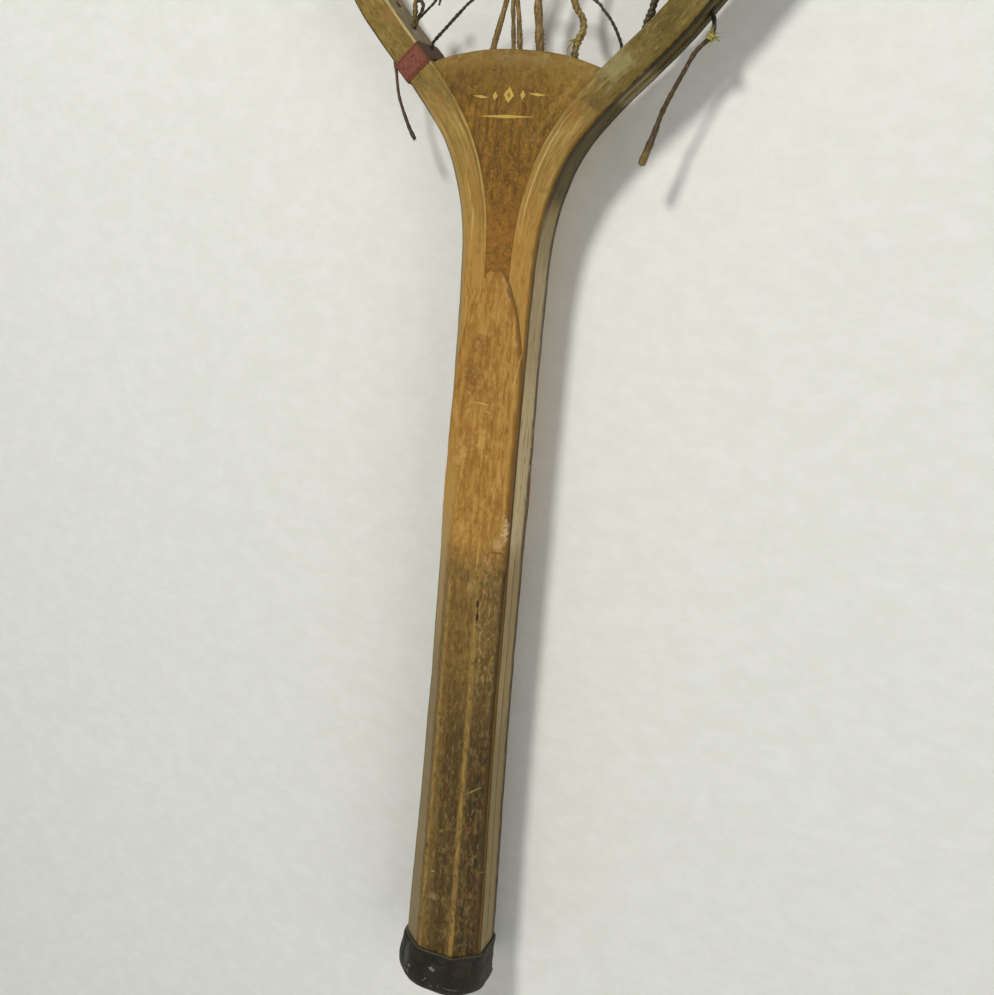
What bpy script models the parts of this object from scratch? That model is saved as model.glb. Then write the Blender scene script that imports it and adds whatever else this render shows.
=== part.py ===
"""Wooden racket with a bent hoop, a solid wedge throat, an eight-sided handle and the remains of its strings.

The racket stands on its butt: +Z runs up its length, +X to the right of the front face, and the front
faces -Y. The origin is the middle of the butt's end face. Lists of sizes are in millimetres.
"""
import bisect
import math

import bmesh
import bpy
from mathutils import Vector

MM = 0.001
GAP = 0.3 * MM

# Overall sizes
TOTAL_LENGTH = 0.686
HEAD_HALF_WIDTH = 0.117
WIDEST_HEIGHT = 0.545
HEAD_ROUNDNESS = 2.15
CROWN_HEIGHT = 0.4015
BOW_DEPTH = 0.0165

# Points worked out along a quarter of the head's outline
HEAD_POINTS = 401

# Outer half outline below the widest part of the head, from there down: half width, height over the crown
THROAT_OUTLINE = (
    (115.2, 113.0), (106.0, 77.0), (90.0, 43.0), (70.0, 15.4), (61.6, 5.0), (52.0, -5.2), (42.0, -15.4),
    (33.3, -25.0), (26.5, -34.2), (21.6, -44.7), (18.0, -56.7), (16.0, -70.2), (15.3, -90.5),
)
# Half width of the handle at heights over the butt
HANDLE_OUTLINE = (
    (15.2, 268.0), (15.3, 231.0), (15.7, 188.0), (15.9, 143.0), (16.7, 93.0), (18.0, 43.0),
    (18.4, 18.8), (18.7, 0.0),
)
# Width of the bent strip across its face at heights over the butt
STRIP_WIDTH = (
    (0.0, 10.3), (328.0, 10.3), (348.0, 10.9), (370.0, 11.4), (384.0, 12.4), (545.0, 12.2), (686.0, 12.0),
)
INNER_CHAMFER = 0.0011
OUTER_CHAMFER = 0.0017
LEG_CHAMFER = 0.00055
LEG_STEP = 0.006

# String groove round the outside of the hoop, and the string holes
GROOVE_DEPTH = 0.0012
GROOVE_HALF_WIDTH = 0.0020
GROOVE_BOTTOM_HALF_WIDTH = 0.0015
LEG_GROOVE_DEPTH = 0.00003
GROOVE_START_HEIGHT = CROWN_HEIGHT - 0.024
GROOVE_FADE = 0.010
HOLE_RADIUS = 0.0014
LOWEST_HOLE_HEIGHT = CROWN_HEIGHT - 0.0093
HOLES_PER_SIDE = 34
HOLE_SIDES = 8
HOLE_CUT_MARGIN = 0.003

# Wedge
CROWN_DROP = 0.0056
CROWN_CORNER = 0.0340
CROWN_POWER = 2.2
CROWN_STEPS = 20
WEDGE_BEVEL = 0.0005
CROWN_HOLE_DEPTH = 0.0095
CROWN_HOLE_RISE = 0.008

# Outer slabs of the handle: height over the butt, half thickness of the racket there,
# half width of the flat front, height of the slab's side wall over the bow
SLAB_SECTIONS = (
    (0.0, 16.4, 8.0, 0.30), (18.8, 16.3, 7.9, 0.30), (43.0, 16.2, 7.7, 0.30), (93.0, 15.7, 7.2, 0.30),
    (143.0, 15.5, 7.0, 0.30), (188.0, 15.3, 6.6, 0.35), (210.0, 14.2, 6.9, 0.95), (231.0, 12.6, 7.8, 1.90),
    (250.0, 11.2, 10.4, 1.15), (268.0, 10.3, 12.9, 0.70), (284.5, 9.75, 13.2, 0.55), (292.5, 9.6, 12.1, 0.50),
    (299.0, 9.5, 10.8, 0.50), (305.5, 9.4, 9.3, 0.45), (313.0, 9.3, 6.5, 0.45), (318.0, 9.2, 4.1, 0.40),
    (320.5, 9.15, 2.3, 0.40), (321.5, 9.1, 0.7, 0.40),
)
# Half width of the slab's rounded tongue at heights over the butt
TONGUE_OUTLINE = (
    (268.0, 14.8), (284.5, 14.0), (292.5, 12.9), (299.0, 11.6), (305.5, 10.1), (313.0, 7.3), (318.0, 4.9),
    (320.5, 3.0), (321.5, 1.3),
)
SLAB_SIDE_INSET = 0.0004
HANDLE_SIDE_INSET = 0.0010
HANDLE_TOP = 0.2

# Leather band at the butt: distance out from the wood, height over the butt
BAND_SECTION = (
    (0.3, 0.6), (3.0, 0.6), (3.9, 2.6), (4.1, 6.0), (3.6, 11.0), (2.5, 16.0), (1.6, 18.6), (0.3, 18.8),
)
BAND_CORNER_OUTSIDE = 0.0024
BAND_CORNER_INSIDE = 0.0002

# Cloth binding round the left shoulder
BINDING_LOW = CROWN_HEIGHT - 0.0138
BINDING_HIGH = CROWN_HEIGHT - 0.0076
BINDING_THICKNESS = 0.00055
BINDING_STEPS = 3

# Strings
STRING_RADIUS = 0.7
WEAVE_OFFSET = 0.00085
FIRST_CROSS_HOLE = 9
CROSS_COUNT = 6
MAINS_PER_SIDE = 4
ROUTE_STEP = 0.0045
HOLE_EXIT = 0.0015
TUFT_SPREAD = 0.0006
# A string's turn from inside its hole into the groove: offset out from the hoop's face, distance along it
TURN_STEPS = ((-6.0, 0.0), (-1.7, 0.0), (-0.55, 0.35), (-0.2, 1.3))

# Slack lower stretches of the long strings, from inside the wedge upward: x and height over the crown
SLACK_1 = (
    (-12.5, -7), (-12.2, 1), (-10.7, 7.4), (-9.6, 12.6), (-8, 17.9), (-7.7, 26), (-10, 42), (-16.5, 80),
    (-20, 120), (-17, 165),
)
SLACK_2 = (
    (-4.2, -7), (-4.4, 1.2), (-5.2, 9.5), (-6, 17.9), (-5, 27), (-1.6, 48), (-6.5, 90), (-3.5, 135),
    (-5.3, 170),
)
SLACK_3 = (
    (-1.3, -7), (-1.6, 1.3), (-3.1, 12.8), (-4, 17.9), (-2.9, 26), (3, 46), (8, 90), (3.5, 140), (5.3, 170),
)
SLACK_4 = (
    (6.9, -7), (6.6, 0.8), (5.1, 11.2), (4.3, 18.1), (6, 30), (12.5, 55), (14, 95), (20, 140), (16.5, 170),
)
SLACK_5 = (
    (21.4, -8), (20.7, -1.5), (19.5, 1.9), (20.7, 5.3), (22.8, 8.1), (22.3, 12.2), (19.7, 14.9), (17, 18.2),
    (15.5, 24), (18.5, 36), (23, 50), (22, 61),
)
# Loose ends of the short main strings under the lowest crossing string: across and up from it
SHORT_ENDS = {
    -1: (((-3, -22), (1, -40)), ((2, -14), (3, -27))),
    1: (((2, -16), (-2, -33)), ((-3, -20), (-1, -46))),
}
# Broken strings near the throat or outside the hoop: x, y and height over the crown
ARCH = (
    (-37.6, -1.0, 2.9), (-35.4, -1.8, 5.7), (-31.5, -2.4, 9.7), (-27.5, -2.6, 13.7), (-22.4, -2.6, 17.7),
    (-12, -2.6, 23.3), (0, -2.6, 25.8), (14, -2.6, 24.2), (25.9, -2.6, 18.4), (30.1, -2.4, 15.1),
    (34, -1.8, 11.1), (36.3, -1.0, 7.4), (37.9, -0.4, 3.2),
)
KNOTTED = (
    (45.9, 0, 9.4), (46.9, 0, 13), (48.1, 0, 15.4), (49.1, 0, 18.7), (52, 0.5, 29), (51, 1, 41), (45, 1, 50),
)
TUFT_LOOP = (
    (-44.3, -0.9, 12.2), (-43.5, -1.2, 15.2), (-44.7, -1.4, 17.6), (-46.3, -1.5, 17.9), (-47, -1.6, 15.2),
    (-47.1, -2.1, 12.6),
)
TUFT_STRAND = ((-43.4, 0.9, 12.2), (-40.4, 1.0, 14.6), (-37.6, 1.0, 17.5), (-34.5, 0.6, 23), (-33.5, 0, 31))
LEFT_TAIL = (
    (-62.9, 0, 2.7), (-61.6, 0, 1.0), (-58.3, 0, -1.6), (-55.8, 0, -4.5), (-53.8, 0, -7.7), (-52.9, 0, -11.5),
    (-52.4, 0, -15.8), (-50.7, 0, -20.6), (-48.6, 0, -25.4), (-46.5, 0, -29.8), (-43.3, 0, -34.2),
)
RIGHT_TAIL = (
    (72.3, 0, 10.4), (71.0, 0, 8.4), (68.2, 0, 5.0), (66.1, 0, 2.4), (63.5, 0, -2.5), (61.1, 0, -6.9),
    (58.6, 0, -12.8), (56.1, 0, -19.7), (54.3, 0, -26.7), (52.2, 0, -31.4), (50.1, 0, -35.7),
)
# Radii spread evenly along each string
LEFT_MAIN_RADII = (0.95, 0.9, 0.75, *[STRING_RADIUS] * 12, 0.75)
RIGHT_MAIN_RADII = (1.5, 1.0, 0.9, 0.85, 0.7, *[STRING_RADIUS] * 12, 0.75)
PLAIN_RADII = (STRING_RADIUS, STRING_RADIUS)
ARCH_RADII = (0.45, 0.45)
BROKEN_RADII = (1.0, 1.1, 0.8, 0.95, 0.8, 0.75, 0.6)
KNOTTED_RADII = (0.9, 0.9, 1.1, 0.8, 1.1, 0.9, 0.7, 0.6)
TUFT_LOOP_RADII = (0.5, 0.5, 0.7, 0.5, 0.6, 0.8)
TUFT_STRAND_RADII = (0.38, 0.4, 0.45)
LEFT_TAIL_RADII = (0.5, 0.5, 0.5, 0.5, 0.55, 0.6, 0.85)
RIGHT_TAIL_RADII = (0.6, 1.0, 0.6, 0.6, 0.65, 0.7, 0.8, 1.2)
# Radii of the holes in the wedge's crown that the five slack strings come out of
CROWN_HOLES = ((SLACK_1, 1.45), (SLACK_2, 1.3), (SLACK_3, 1.3), (SLACK_4, 2.0), (SLACK_5, 1.75))

ASH = ("ash", (0.36, 0.25, 0.10), 0.5)
MAHOGANY = ("mahogany", (0.22, 0.09, 0.03), 0.45)
HANDLE_WOOD = ("handle_wood", (0.30, 0.14, 0.05), 0.55)
LEATHER = ("leather", (0.02, 0.017, 0.015), 0.5)
RED_CLOTH = ("red_cloth", (0.22, 0.03, 0.03), 0.8)
GUT = ("gut", (0.12, 0.08, 0.035), 0.6)
DARK_GUT = ("dark_gut", (0.02, 0.018, 0.016), 0.6)


def clear_scene():
    """Removes whatever the scene holds."""
    for item in list(bpy.data.objects):
        bpy.data.objects.remove(item, do_unlink=True)


def material(finish):
    """The material of a finish, made once."""
    name, colour, roughness = finish
    found = bpy.data.materials.get(name)
    if found:
        return found
    made = bpy.data.materials.new(name)
    made.use_nodes = True
    shader = made.node_tree.nodes["Principled BSDF"]
    shader.inputs["Base Color"].default_value = (*colour, 1.0)
    shader.inputs["Roughness"].default_value = roughness
    shader.inputs["Metallic"].default_value = 0.0
    return made


def add_object(name, data, finish):
    """Links an object with its finish to the scene."""
    item = bpy.data.objects.new(name, data)
    data.materials.append(material(finish))
    bpy.context.scene.collection.objects.link(item)
    return item


def mesh_object(name, shape, finish, sharp_angle=35.0):
    """Turns a bmesh into an object with smooth shading between its sharp edges."""
    bmesh.ops.recalc_face_normals(shape, faces=shape.faces)
    mesh = bpy.data.meshes.new(name)
    shape.to_mesh(mesh)
    shape.free()
    mesh.shade_smooth()
    mesh.set_sharp_from_angle(angle=math.radians(sharp_angle))
    return add_object(name, mesh, finish)


def between(table, height):
    """Straight-line value of a table of (height, value) rows, heights rising."""
    heights = [row[0] for row in table]
    place = min(max(bisect.bisect_right(heights, height), 1), len(table) - 1)
    low, high = table[place - 1], table[place]
    share = min(max((height - low[0]) / (high[0] - low[0]), 0.0), 1.0)
    return low[1] + (high[1] - low[1]) * share


def smooth_route(points, step):
    """Points about one step apart on a smooth curve through the given points."""
    points = [Vector(point) for point in points]
    ends = [points[0] * 2 - points[1], *points, points[-1] * 2 - points[-2]]
    route = [points[0]]
    for before, start, stop, after in zip(ends, ends[1:], ends[2:], ends[3:]):
        count = max(1, round((stop - start).length / step))
        for index in range(1, count + 1):
            share = index / count
            route.append(0.5 * (2 * start + (stop - before) * share
                                + (2 * before - 5 * start + 4 * stop - after) * share ** 2
                                + (3 * start - before - 3 * stop + after) * share ** 3))
    return route


def right_outline():
    """Closely spaced points of the outer outline from the top of the head down its right side to the butt."""
    rise = TOTAL_LENGTH - WIDEST_HEIGHT
    power = 2 / HEAD_ROUNDNESS
    top = []
    for index in range(HEAD_POINTS):
        angle = index / (HEAD_POINTS - 1) * math.pi / 2
        top.append(Vector((HEAD_HALF_WIDTH * math.sin(angle) ** power,
                           WIDEST_HEIGHT + rise * max(math.cos(angle), 0.0) ** power)))
    lower = [Vector((half * MM, CROWN_HEIGHT + height * MM)) for half, height in THROAT_OUTLINE]
    lower += [Vector((half * MM, height * MM)) for half, height in HANDLE_OUTLINE]
    lead = Vector((HEAD_HALF_WIDTH - 0.0025, WIDEST_HEIGHT + 0.031))
    curve = smooth_route([lead, top[-1], *lower], 0.5 * MM)
    first = min(range(len(curve)), key=lambda index: (curve[index] - top[-1]).length)
    return top + curve[first + 1:]


OUTLINE = right_outline()
RUN = [0.0]
for upper, lower in zip(OUTLINE, OUTLINE[1:]):
    RUN.append(RUN[-1] + (lower - upper).length)


def strip_width(height):
    """Width of the bent strip at a height over the butt."""
    return between(STRIP_WIDTH, height / MM) * MM


def run_at_height(height):
    """Distance along the outline, from the top of the head, of its lower point at a height."""
    for index in range(len(OUTLINE) - 1, 0, -1):
        if OUTLINE[index - 1].y >= height >= OUTLINE[index].y:
            share = (OUTLINE[index - 1].y - height) / max(OUTLINE[index - 1].y - OUTLINE[index].y, 1e-9)
            return RUN[index - 1] + share * (RUN[index] - RUN[index - 1])
    return 0.0


def outline_frame(run):
    """Point of the outer outline and its outward direction; a negative run is on the left side."""
    side = -1.0 if run < 0 else 1.0
    distance = min(abs(run), RUN[-1])
    place = min(max(bisect.bisect_right(RUN, distance), 1), len(RUN) - 1)
    share = (distance - RUN[place - 1]) / (RUN[place] - RUN[place - 1])
    point = OUTLINE[place - 1].lerp(OUTLINE[place], share)
    along = (OUTLINE[min(place + 3, len(RUN) - 1)] - OUTLINE[max(place - 4, 0)]).normalized()
    outward = Vector((-along.y, along.x))
    if place < 5:
        outward = Vector((outward.x * distance / RUN[5], outward.y)).normalized()
    return Vector((side * point.x, point.y)), Vector((side * outward.x, outward.y))


def place_in_hoop(run, outward_offset, depth=0.0):
    """Point in space at a run of the outline, an offset out from it and a depth toward the back."""
    point, outward = outline_frame(run)
    spot = point + outward * outward_offset
    return Vector((spot.x, depth, spot.y))


def loft(name, sections, finish, inner_sections=None):
    """Skin through sections of equal point counts, capped, or bored through by inner sections."""
    shape = bmesh.new()
    walls = []
    for group in filter(None, (sections, inner_sections)):
        rings = [[shape.verts.new(point) for point in section] for section in group]
        for ring, following in zip(rings, rings[1:]):
            for index, corner in enumerate(ring):
                after = (index + 1) % len(ring)
                shape.faces.new((corner, ring[after], following[after], following[index]))
        walls.append(rings)
    for end in (0, -1):
        if inner_sections is None:
            shape.faces.new(walls[0][end])
            continue
        outer, inner = walls[0][end], walls[1][end]
        for index, corner in enumerate(outer):
            after = (index + 1) % len(outer)
            shape.faces.new((corner, outer[after], inner[after], inner[index]))
    return mesh_object(name, shape, finish)


def chamfered_section(width, half_depth, inner_chamfer, outer_chamfer, grow=0.0):
    """Outline of the strip's section as (offset from the outer face, depth), grown outward all round."""
    extra = grow * (2 - math.sqrt(2))
    inner, outer = inner_chamfer + extra, outer_chamfer + extra
    low, high, half = -width - grow, grow, half_depth + grow
    return [(low, -half + inner), (low + inner, -half), (high - outer, -half), (high, -half + outer),
            (high, half - outer), (high - outer, half), (low + inner, half), (low, half - inner)]


def bow_section(run):
    """Section of the bow at a run of the outline, with its string groove in the hoop; the ends are cut level."""
    height = outline_frame(run)[0].y
    hoop_share = min(max((height - GROOVE_START_HEIGHT) / GROOVE_FADE, 0.0), 1.0)
    chamfer = LEG_CHAMFER + (OUTER_CHAMFER - LEG_CHAMFER) * hoop_share
    groove = LEG_GROOVE_DEPTH + (GROOVE_DEPTH - LEG_GROOVE_DEPTH) * hoop_share
    corners = chamfered_section(strip_width(height), BOW_DEPTH / 2, INNER_CHAMFER, chamfer)
    groove_corners = [(0.0, -GROOVE_HALF_WIDTH), (-groove, -GROOVE_BOTTOM_HALF_WIDTH),
                      (-groove, GROOVE_BOTTOM_HALF_WIDTH), (0.0, GROOVE_HALF_WIDTH)]
    corners[4:4] = groove_corners
    section = [place_in_hoop(run, offset, depth) for offset, depth in corners]
    if abs(run) >= RUN[-1]:
        for point in section:
            point.z = 0.0
    return section


HOLE_PITCH = run_at_height(LOWEST_HOLE_HEIGHT) / (HOLES_PER_SIDE - 0.5)


def hole_run(index, side):
    """Run of a string hole, counted from the top of the head."""
    return side * (index + 0.5) * HOLE_PITCH


def hole_point(index, side, outward_offset, depth=0.0):
    """Point on a string hole's axis at an offset out from the hoop's outer face."""
    return place_in_hoop(hole_run(index, side), outward_offset, depth)


def hole_mouth(index, side):
    """Middle of a string hole's mouth inside the hoop."""
    return hole_point(index, side, -strip_width(outline_frame(hole_run(index, side))[0].y))


def bow_runs():
    """Runs of the bow's sections down one side: halfway between holes, then close in the throat."""
    runs = [index * HOLE_PITCH for index in range(HOLES_PER_SIDE + 1)]
    shaft = run_at_height(CROWN_HEIGHT + THROAT_OUTLINE[-1][1] * MM)
    count = round((shaft - runs[-1]) / LEG_STEP)
    step = (shaft - runs[-1]) / count
    runs += [runs[-1] + step * index for index in range(1, count + 1)]
    runs += [run_at_height(height * MM) for half, height in HANDLE_OUTLINE[:-1]]
    return [*runs, RUN[-1]]


def cylinder_between(shape, start, stop, radius):
    """Adds a closed round bar to a bmesh."""
    axis = stop - start
    turn = axis.to_track_quat("Z", "Y").to_matrix().to_4x4()
    turn.translation = (start + stop) / 2
    bmesh.ops.create_cone(shape, cap_ends=True, segments=HOLE_SIDES, radius1=radius, radius2=radius,
                          depth=axis.length, matrix=turn)


def cutter(name, bars):
    """A hidden cutter of separate round bars."""
    shape = bmesh.new()
    for start, stop, radius in bars:
        cylinder_between(shape, start, stop, radius)
    item = mesh_object(name, shape, ASH)
    item.hide_render = True
    item.display_type = "WIRE"
    return item


def cut(item, tool):
    """Subtracts a cutter from an object."""
    step = item.modifiers.new("holes", "BOOLEAN")
    step.operation = "DIFFERENCE"
    step.solver = "EXACT"
    step.object = tool


def make_bow(hole_tool):
    """The bent strip: one leg, the hoop and the other leg, bored for the strings."""
    side = bow_runs()
    runs = [-run for run in reversed(side[1:])] + side
    bow = loft("bow", [bow_section(run) for run in runs], ASH)
    cut(bow, hole_tool)
    return bow


def crown_height(half):
    """Height of the wedge's bulging top edge at a distance from the middle."""
    return CROWN_HEIGHT - CROWN_DROP * (abs(half) / CROWN_CORNER) ** CROWN_POWER


def wedge_side(run):
    """Point of the wedge's right side beside a run of the bow."""
    spot = place_in_hoop(run, -strip_width(outline_frame(run)[0].y) - GAP)
    return Vector((spot.x, spot.z))


def wedge_outline():
    """Outline of the wedge: tail between the legs, flaring sides and the crown."""
    side = []
    for run in reversed(bow_runs()):
        spot = wedge_side(run)
        if spot.y >= crown_height(spot.x):
            break
        side.append(spot)
        last_run = run
    side[0].y = 0.0
    corner = side[-1]
    while corner.y < crown_height(corner.x):
        last_run -= 0.1 * MM
        corner = wedge_side(last_run)
    side.append(corner)
    crown = []
    for index in range(1, CROWN_STEPS):
        half = corner.x * math.cos(index / CROWN_STEPS * math.pi)
        crown.append(Vector((half, crown_height(half))))
    left = [Vector((-point.x, point.y)) for point in reversed(side)]
    return side + crown + left


def plate(name, outline, depth, finish, bevel):
    """A flat plate with an outline in X and Z, centred in depth, its edges slightly bevelled."""
    shape = bmesh.new()
    face = shape.faces.new([shape.verts.new((point.x, -depth / 2, point.y)) for point in outline])
    pulled = bmesh.ops.extrude_face_region(shape, geom=[face])
    moved = [part for part in pulled["geom"] if isinstance(part, bmesh.types.BMVert)]
    bmesh.ops.translate(shape, verts=moved, vec=(0.0, depth, 0.0))
    rims = [edge for edge in shape.edges
            if abs(edge.verts[0].co.y - edge.verts[1].co.y) < 1e-9
            and max(edge.verts[0].co.z, edge.verts[1].co.z) > bevel]
    bmesh.ops.bevel(shape, geom=rims, offset=bevel, segments=1, affect="EDGES")
    return mesh_object(name, shape, finish)


def make_wedge(tool):
    """The wedge of the throat, whose tail fills the shaft and handle between the legs."""
    wedge = plate("throat_wedge", wedge_outline(), BOW_DEPTH, MAHOGANY, WEDGE_BEVEL)
    cut(wedge, tool)
    return wedge


def outline_half_width(height):
    """Half width of the racket's outline at a height below the head."""
    return outline_frame(run_at_height(height))[0].x


def make_slab(name, front):
    """One outer slab of the handle, from the butt to its rounded tongue; front is -1 and back is 1."""
    sections = []
    face = BOW_DEPTH / 2 + GAP
    for height, half_depth, flat, wall in SLAB_SECTIONS:
        inset = HANDLE_SIDE_INSET if height * MM < HANDLE_TOP else SLAB_SIDE_INSET
        base = outline_half_width(height * MM) - inset
        if height >= TONGUE_OUTLINE[0][0]:
            base = min(base, between(TONGUE_OUTLINE, height) * MM)
        outer, wall_top = half_depth * MM, face + wall * MM
        corners = ((-base, face), (-base, wall_top), (-flat * MM, outer),
                   (flat * MM, outer), (base, wall_top), (base, face))
        sections.append([Vector((across, front * depth, height * MM)) for across, depth in corners])
    return loft(name, sections, HANDLE_WOOD)


def octagon(height, grow, corner):
    """Eight-sided section of the handle grown outward, each corner cut into two points."""
    half_depth = between([(row[0], row[1]) for row in SLAB_SECTIONS], height) * MM
    flat = between([(row[0], row[2]) for row in SLAB_SECTIONS], height) * MM
    half_width = outline_half_width(max(height, 0.01) * MM)
    side = BOW_DEPTH / 2 - LEG_CHAMFER
    lengthen = grow * math.tan(math.radians(22.5))
    quarter = [(half_width + grow, side + lengthen), (flat + lengthen, half_depth + grow)]
    corners = [Vector(point) for point in quarter]
    corners += [Vector((-point.x, point.y)) for point in reversed(corners)]
    corners += [Vector((-point.x, -point.y)) for point in corners]
    rounded = []
    for index, here in enumerate(corners):
        before, after = corners[index - 1], corners[(index + 1) % len(corners)]
        rounded.append(here + (before - here).normalized() * corner)
        rounded.append(here + (after - here).normalized() * corner)
    return [Vector((point.x, point.y, height * MM)) for point in rounded]


def make_band():
    """The flared leather band round the butt."""
    shape = bmesh.new()
    rings = []
    for out, height in BAND_SECTION:
        corner = BAND_CORNER_INSIDE if out * MM <= GAP else BAND_CORNER_OUTSIDE
        section = octagon(height, out * MM, corner)
        rings.append([shape.verts.new(point) for point in section])
    for ring, following in zip(rings, rings[1:] + rings[:1]):
        for index, corner in enumerate(ring):
            after = (index + 1) % len(ring)
            shape.faces.new((corner, ring[after], following[after], following[index]))
    return mesh_object("butt_band", shape, LEATHER, sharp_angle=50.0)


def make_binding(hole_tool):
    """The cloth binding wound round the left shoulder, as one thin sleeve."""
    low, high = run_at_height(BINDING_LOW), run_at_height(BINDING_HIGH)
    outer, inner = [], []
    for index in range(BINDING_STEPS + 1):
        run = -(low + (high - low) * index / BINDING_STEPS)
        width = strip_width(outline_frame(run)[0].y)
        for group, grow in ((outer, GAP + BINDING_THICKNESS), (inner, GAP)):
            corners = chamfered_section(width, BOW_DEPTH / 2, INNER_CHAMFER, OUTER_CHAMFER, grow)
            group.append([place_in_hoop(run, offset, depth) for offset, depth in corners])
    binding = loft("shoulder_binding", outer, RED_CLOTH, inner)
    cut(binding, hole_tool)
    return binding


def string(name, route, radii, finish, resolution=1):
    """A string as a round tube through the route's points, its radii in millimetres spread along it."""
    data = bpy.data.curves.new(name, "CURVE")
    data.dimensions = "3D"
    data.bevel_depth = MM
    data.bevel_resolution = resolution
    data.use_fill_caps = True
    spline = data.splines.new("POLY")
    spline.points.add(len(route) - 1)
    table = [(index / (len(radii) - 1), radius) for index, radius in enumerate(radii)]
    for index, spot in enumerate(route):
        spline.points[index].co = (*spot, 1.0)
        spline.points[index].radius = between(table, index / (len(route) - 1))
    return add_object(name, data, finish)


def over_crown(points, depth=0.0):
    """Points given in millimetres as x and height over the crown, or x, y and height, in space."""
    placed = []
    for point in points:
        across, height = point[0], point[-1]
        back = point[1] * MM if len(point) == 3 else depth
        placed.append(Vector((across * MM, back, CROWN_HEIGHT + height * MM)))
    return placed


def groove_turn(index, side, toward):
    """Points from inside a string hole out into the groove; toward is 1 where it goes on to higher numbers."""
    run = hole_run(index, side)
    return [place_in_hoop(run + side * toward * along * MM, offset * MM) for offset, along in TURN_STEPS]


def loop_over(first, second, side):
    """Route out through one hole, along the groove and back in through the hole beside it."""
    toward = 1 if second > first else -1
    middle = (hole_run(first, side) + hole_run(second, side)) / 2
    part = (hole_run(second, side) - hole_run(first, side)) / 5
    along = [place_in_hoop(middle + part * share, TURN_STEPS[-1][0] * MM) for share in (-1, 0, 1)]
    return groove_turn(first, side, toward) + along + list(reversed(groove_turn(second, side, -toward)))


CROSS_HOLES = range(FIRST_CROSS_HOLE + CROSS_COUNT - 1, FIRST_CROSS_HOLE - 1, -1)
MAIN_HOLES = [(index, side) for side in (-1, 1) for index in range(MAINS_PER_SIDE)]


def weave_sign(main, cross):
    """1 where the main string passes behind the cross string, -1 where it passes in front."""
    index, side = main
    column = index if side > 0 else -1 - index
    return 1 if (column + cross) % 2 else -1


def woven_main(main):
    """Route of a main string up through the cross strings to its hole in the top of the hoop."""
    mouth = hole_mouth(*main)
    route = []
    for cross in CROSS_HOLES:
        height = hole_mouth(cross, 1).z
        route.append(Vector((mouth.x, WEAVE_OFFSET * weave_sign(main, cross), height)))
    return [*route, mouth]


def woven_cross(cross):
    """Route of a cross string from its hole on the left to its hole on the right."""
    left, right = hole_mouth(cross, -1), hole_mouth(cross, 1)
    route = [left]
    for main in sorted(MAIN_HOLES, key=lambda pair: hole_mouth(*pair).x):
        route.append(Vector((hole_mouth(*main).x, -WEAVE_OFFSET * weave_sign(main, cross), left.z)))
    return [*route, right]


def long_span(points, depth, hole):
    """A slack span from inside the wedge up through the crossing strings to its hole at the top."""
    return smooth_route(over_crown(points, depth), ROUTE_STEP * 2) + woven_main(hole)


def make_long_mains():
    """Two strings, each of two slack spans from the wedge to the top, joined over the hoop."""
    left = long_span(SLACK_1, -0.0004, (1, -1)), long_span(SLACK_2, 0.0005, (0, -1))
    right = long_span(SLACK_4, 0.0, (1, 1)), long_span(SLACK_3, 0.0, (0, 1))
    for number, side, (outer, inner), radii in ((1, -1, left, LEFT_MAIN_RADII), (2, 1, right, RIGHT_MAIN_RADII)):
        route = outer + loop_over(1, 0, side) + list(reversed(inner))
        string(f"main_strings_{number}", route, radii, GUT)


def short_span(hole, loose):
    """A broken span that hangs from its hole at the top down through the crossing strings to a loose end."""
    woven = woven_main(hole)
    end = [woven[0] + Vector((across * MM, 0.0, rise * MM)) for across, rise in reversed(loose)]
    return smooth_route([*end, woven[0]], ROUTE_STEP * 2)[:-1] + woven


def make_short_mains():
    """A pair of broken main strings on each side, joined over the hoop."""
    for side, label in ((-1, "left"), (1, "right")):
        outer, inner = (short_span((index, side), loose) for index, loose in zip((3, 2), SHORT_ENDS[side]))
        route = outer + loop_over(3, 2, side) + list(reversed(inner))
        string(f"short_main_strings_{label}", route, PLAIN_RADII, GUT)


def make_crosses():
    """Cross strings in pairs, each pair one length of string turned back in the hoop's groove."""
    holes = list(CROSS_HOLES)
    for number, (first, second) in enumerate(zip(holes[::2], holes[1::2]), 1):
        side = 1 if number % 2 else -1
        out, back = woven_cross(first), woven_cross(second)
        if side > 0:
            back.reverse()
        else:
            out.reverse()
        start = hole_point(first, -side, -0.0035)
        stop = hole_point(second, -side, -0.0035)
        route = [start, *out, *loop_over(first, second, side), *back, stop]
        string(f"cross_strings_{number}", route, PLAIN_RADII, GUT)


def from_hole(index, side, depth, offsets, points):
    """Smooth route that starts on a string hole's axis and goes on through points over the crown."""
    start = [hole_point(index, side, offset, depth) for offset in offsets]
    return start + smooth_route([start[-1], *over_crown(points)], ROUTE_STEP * 0.6)[1:]


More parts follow.
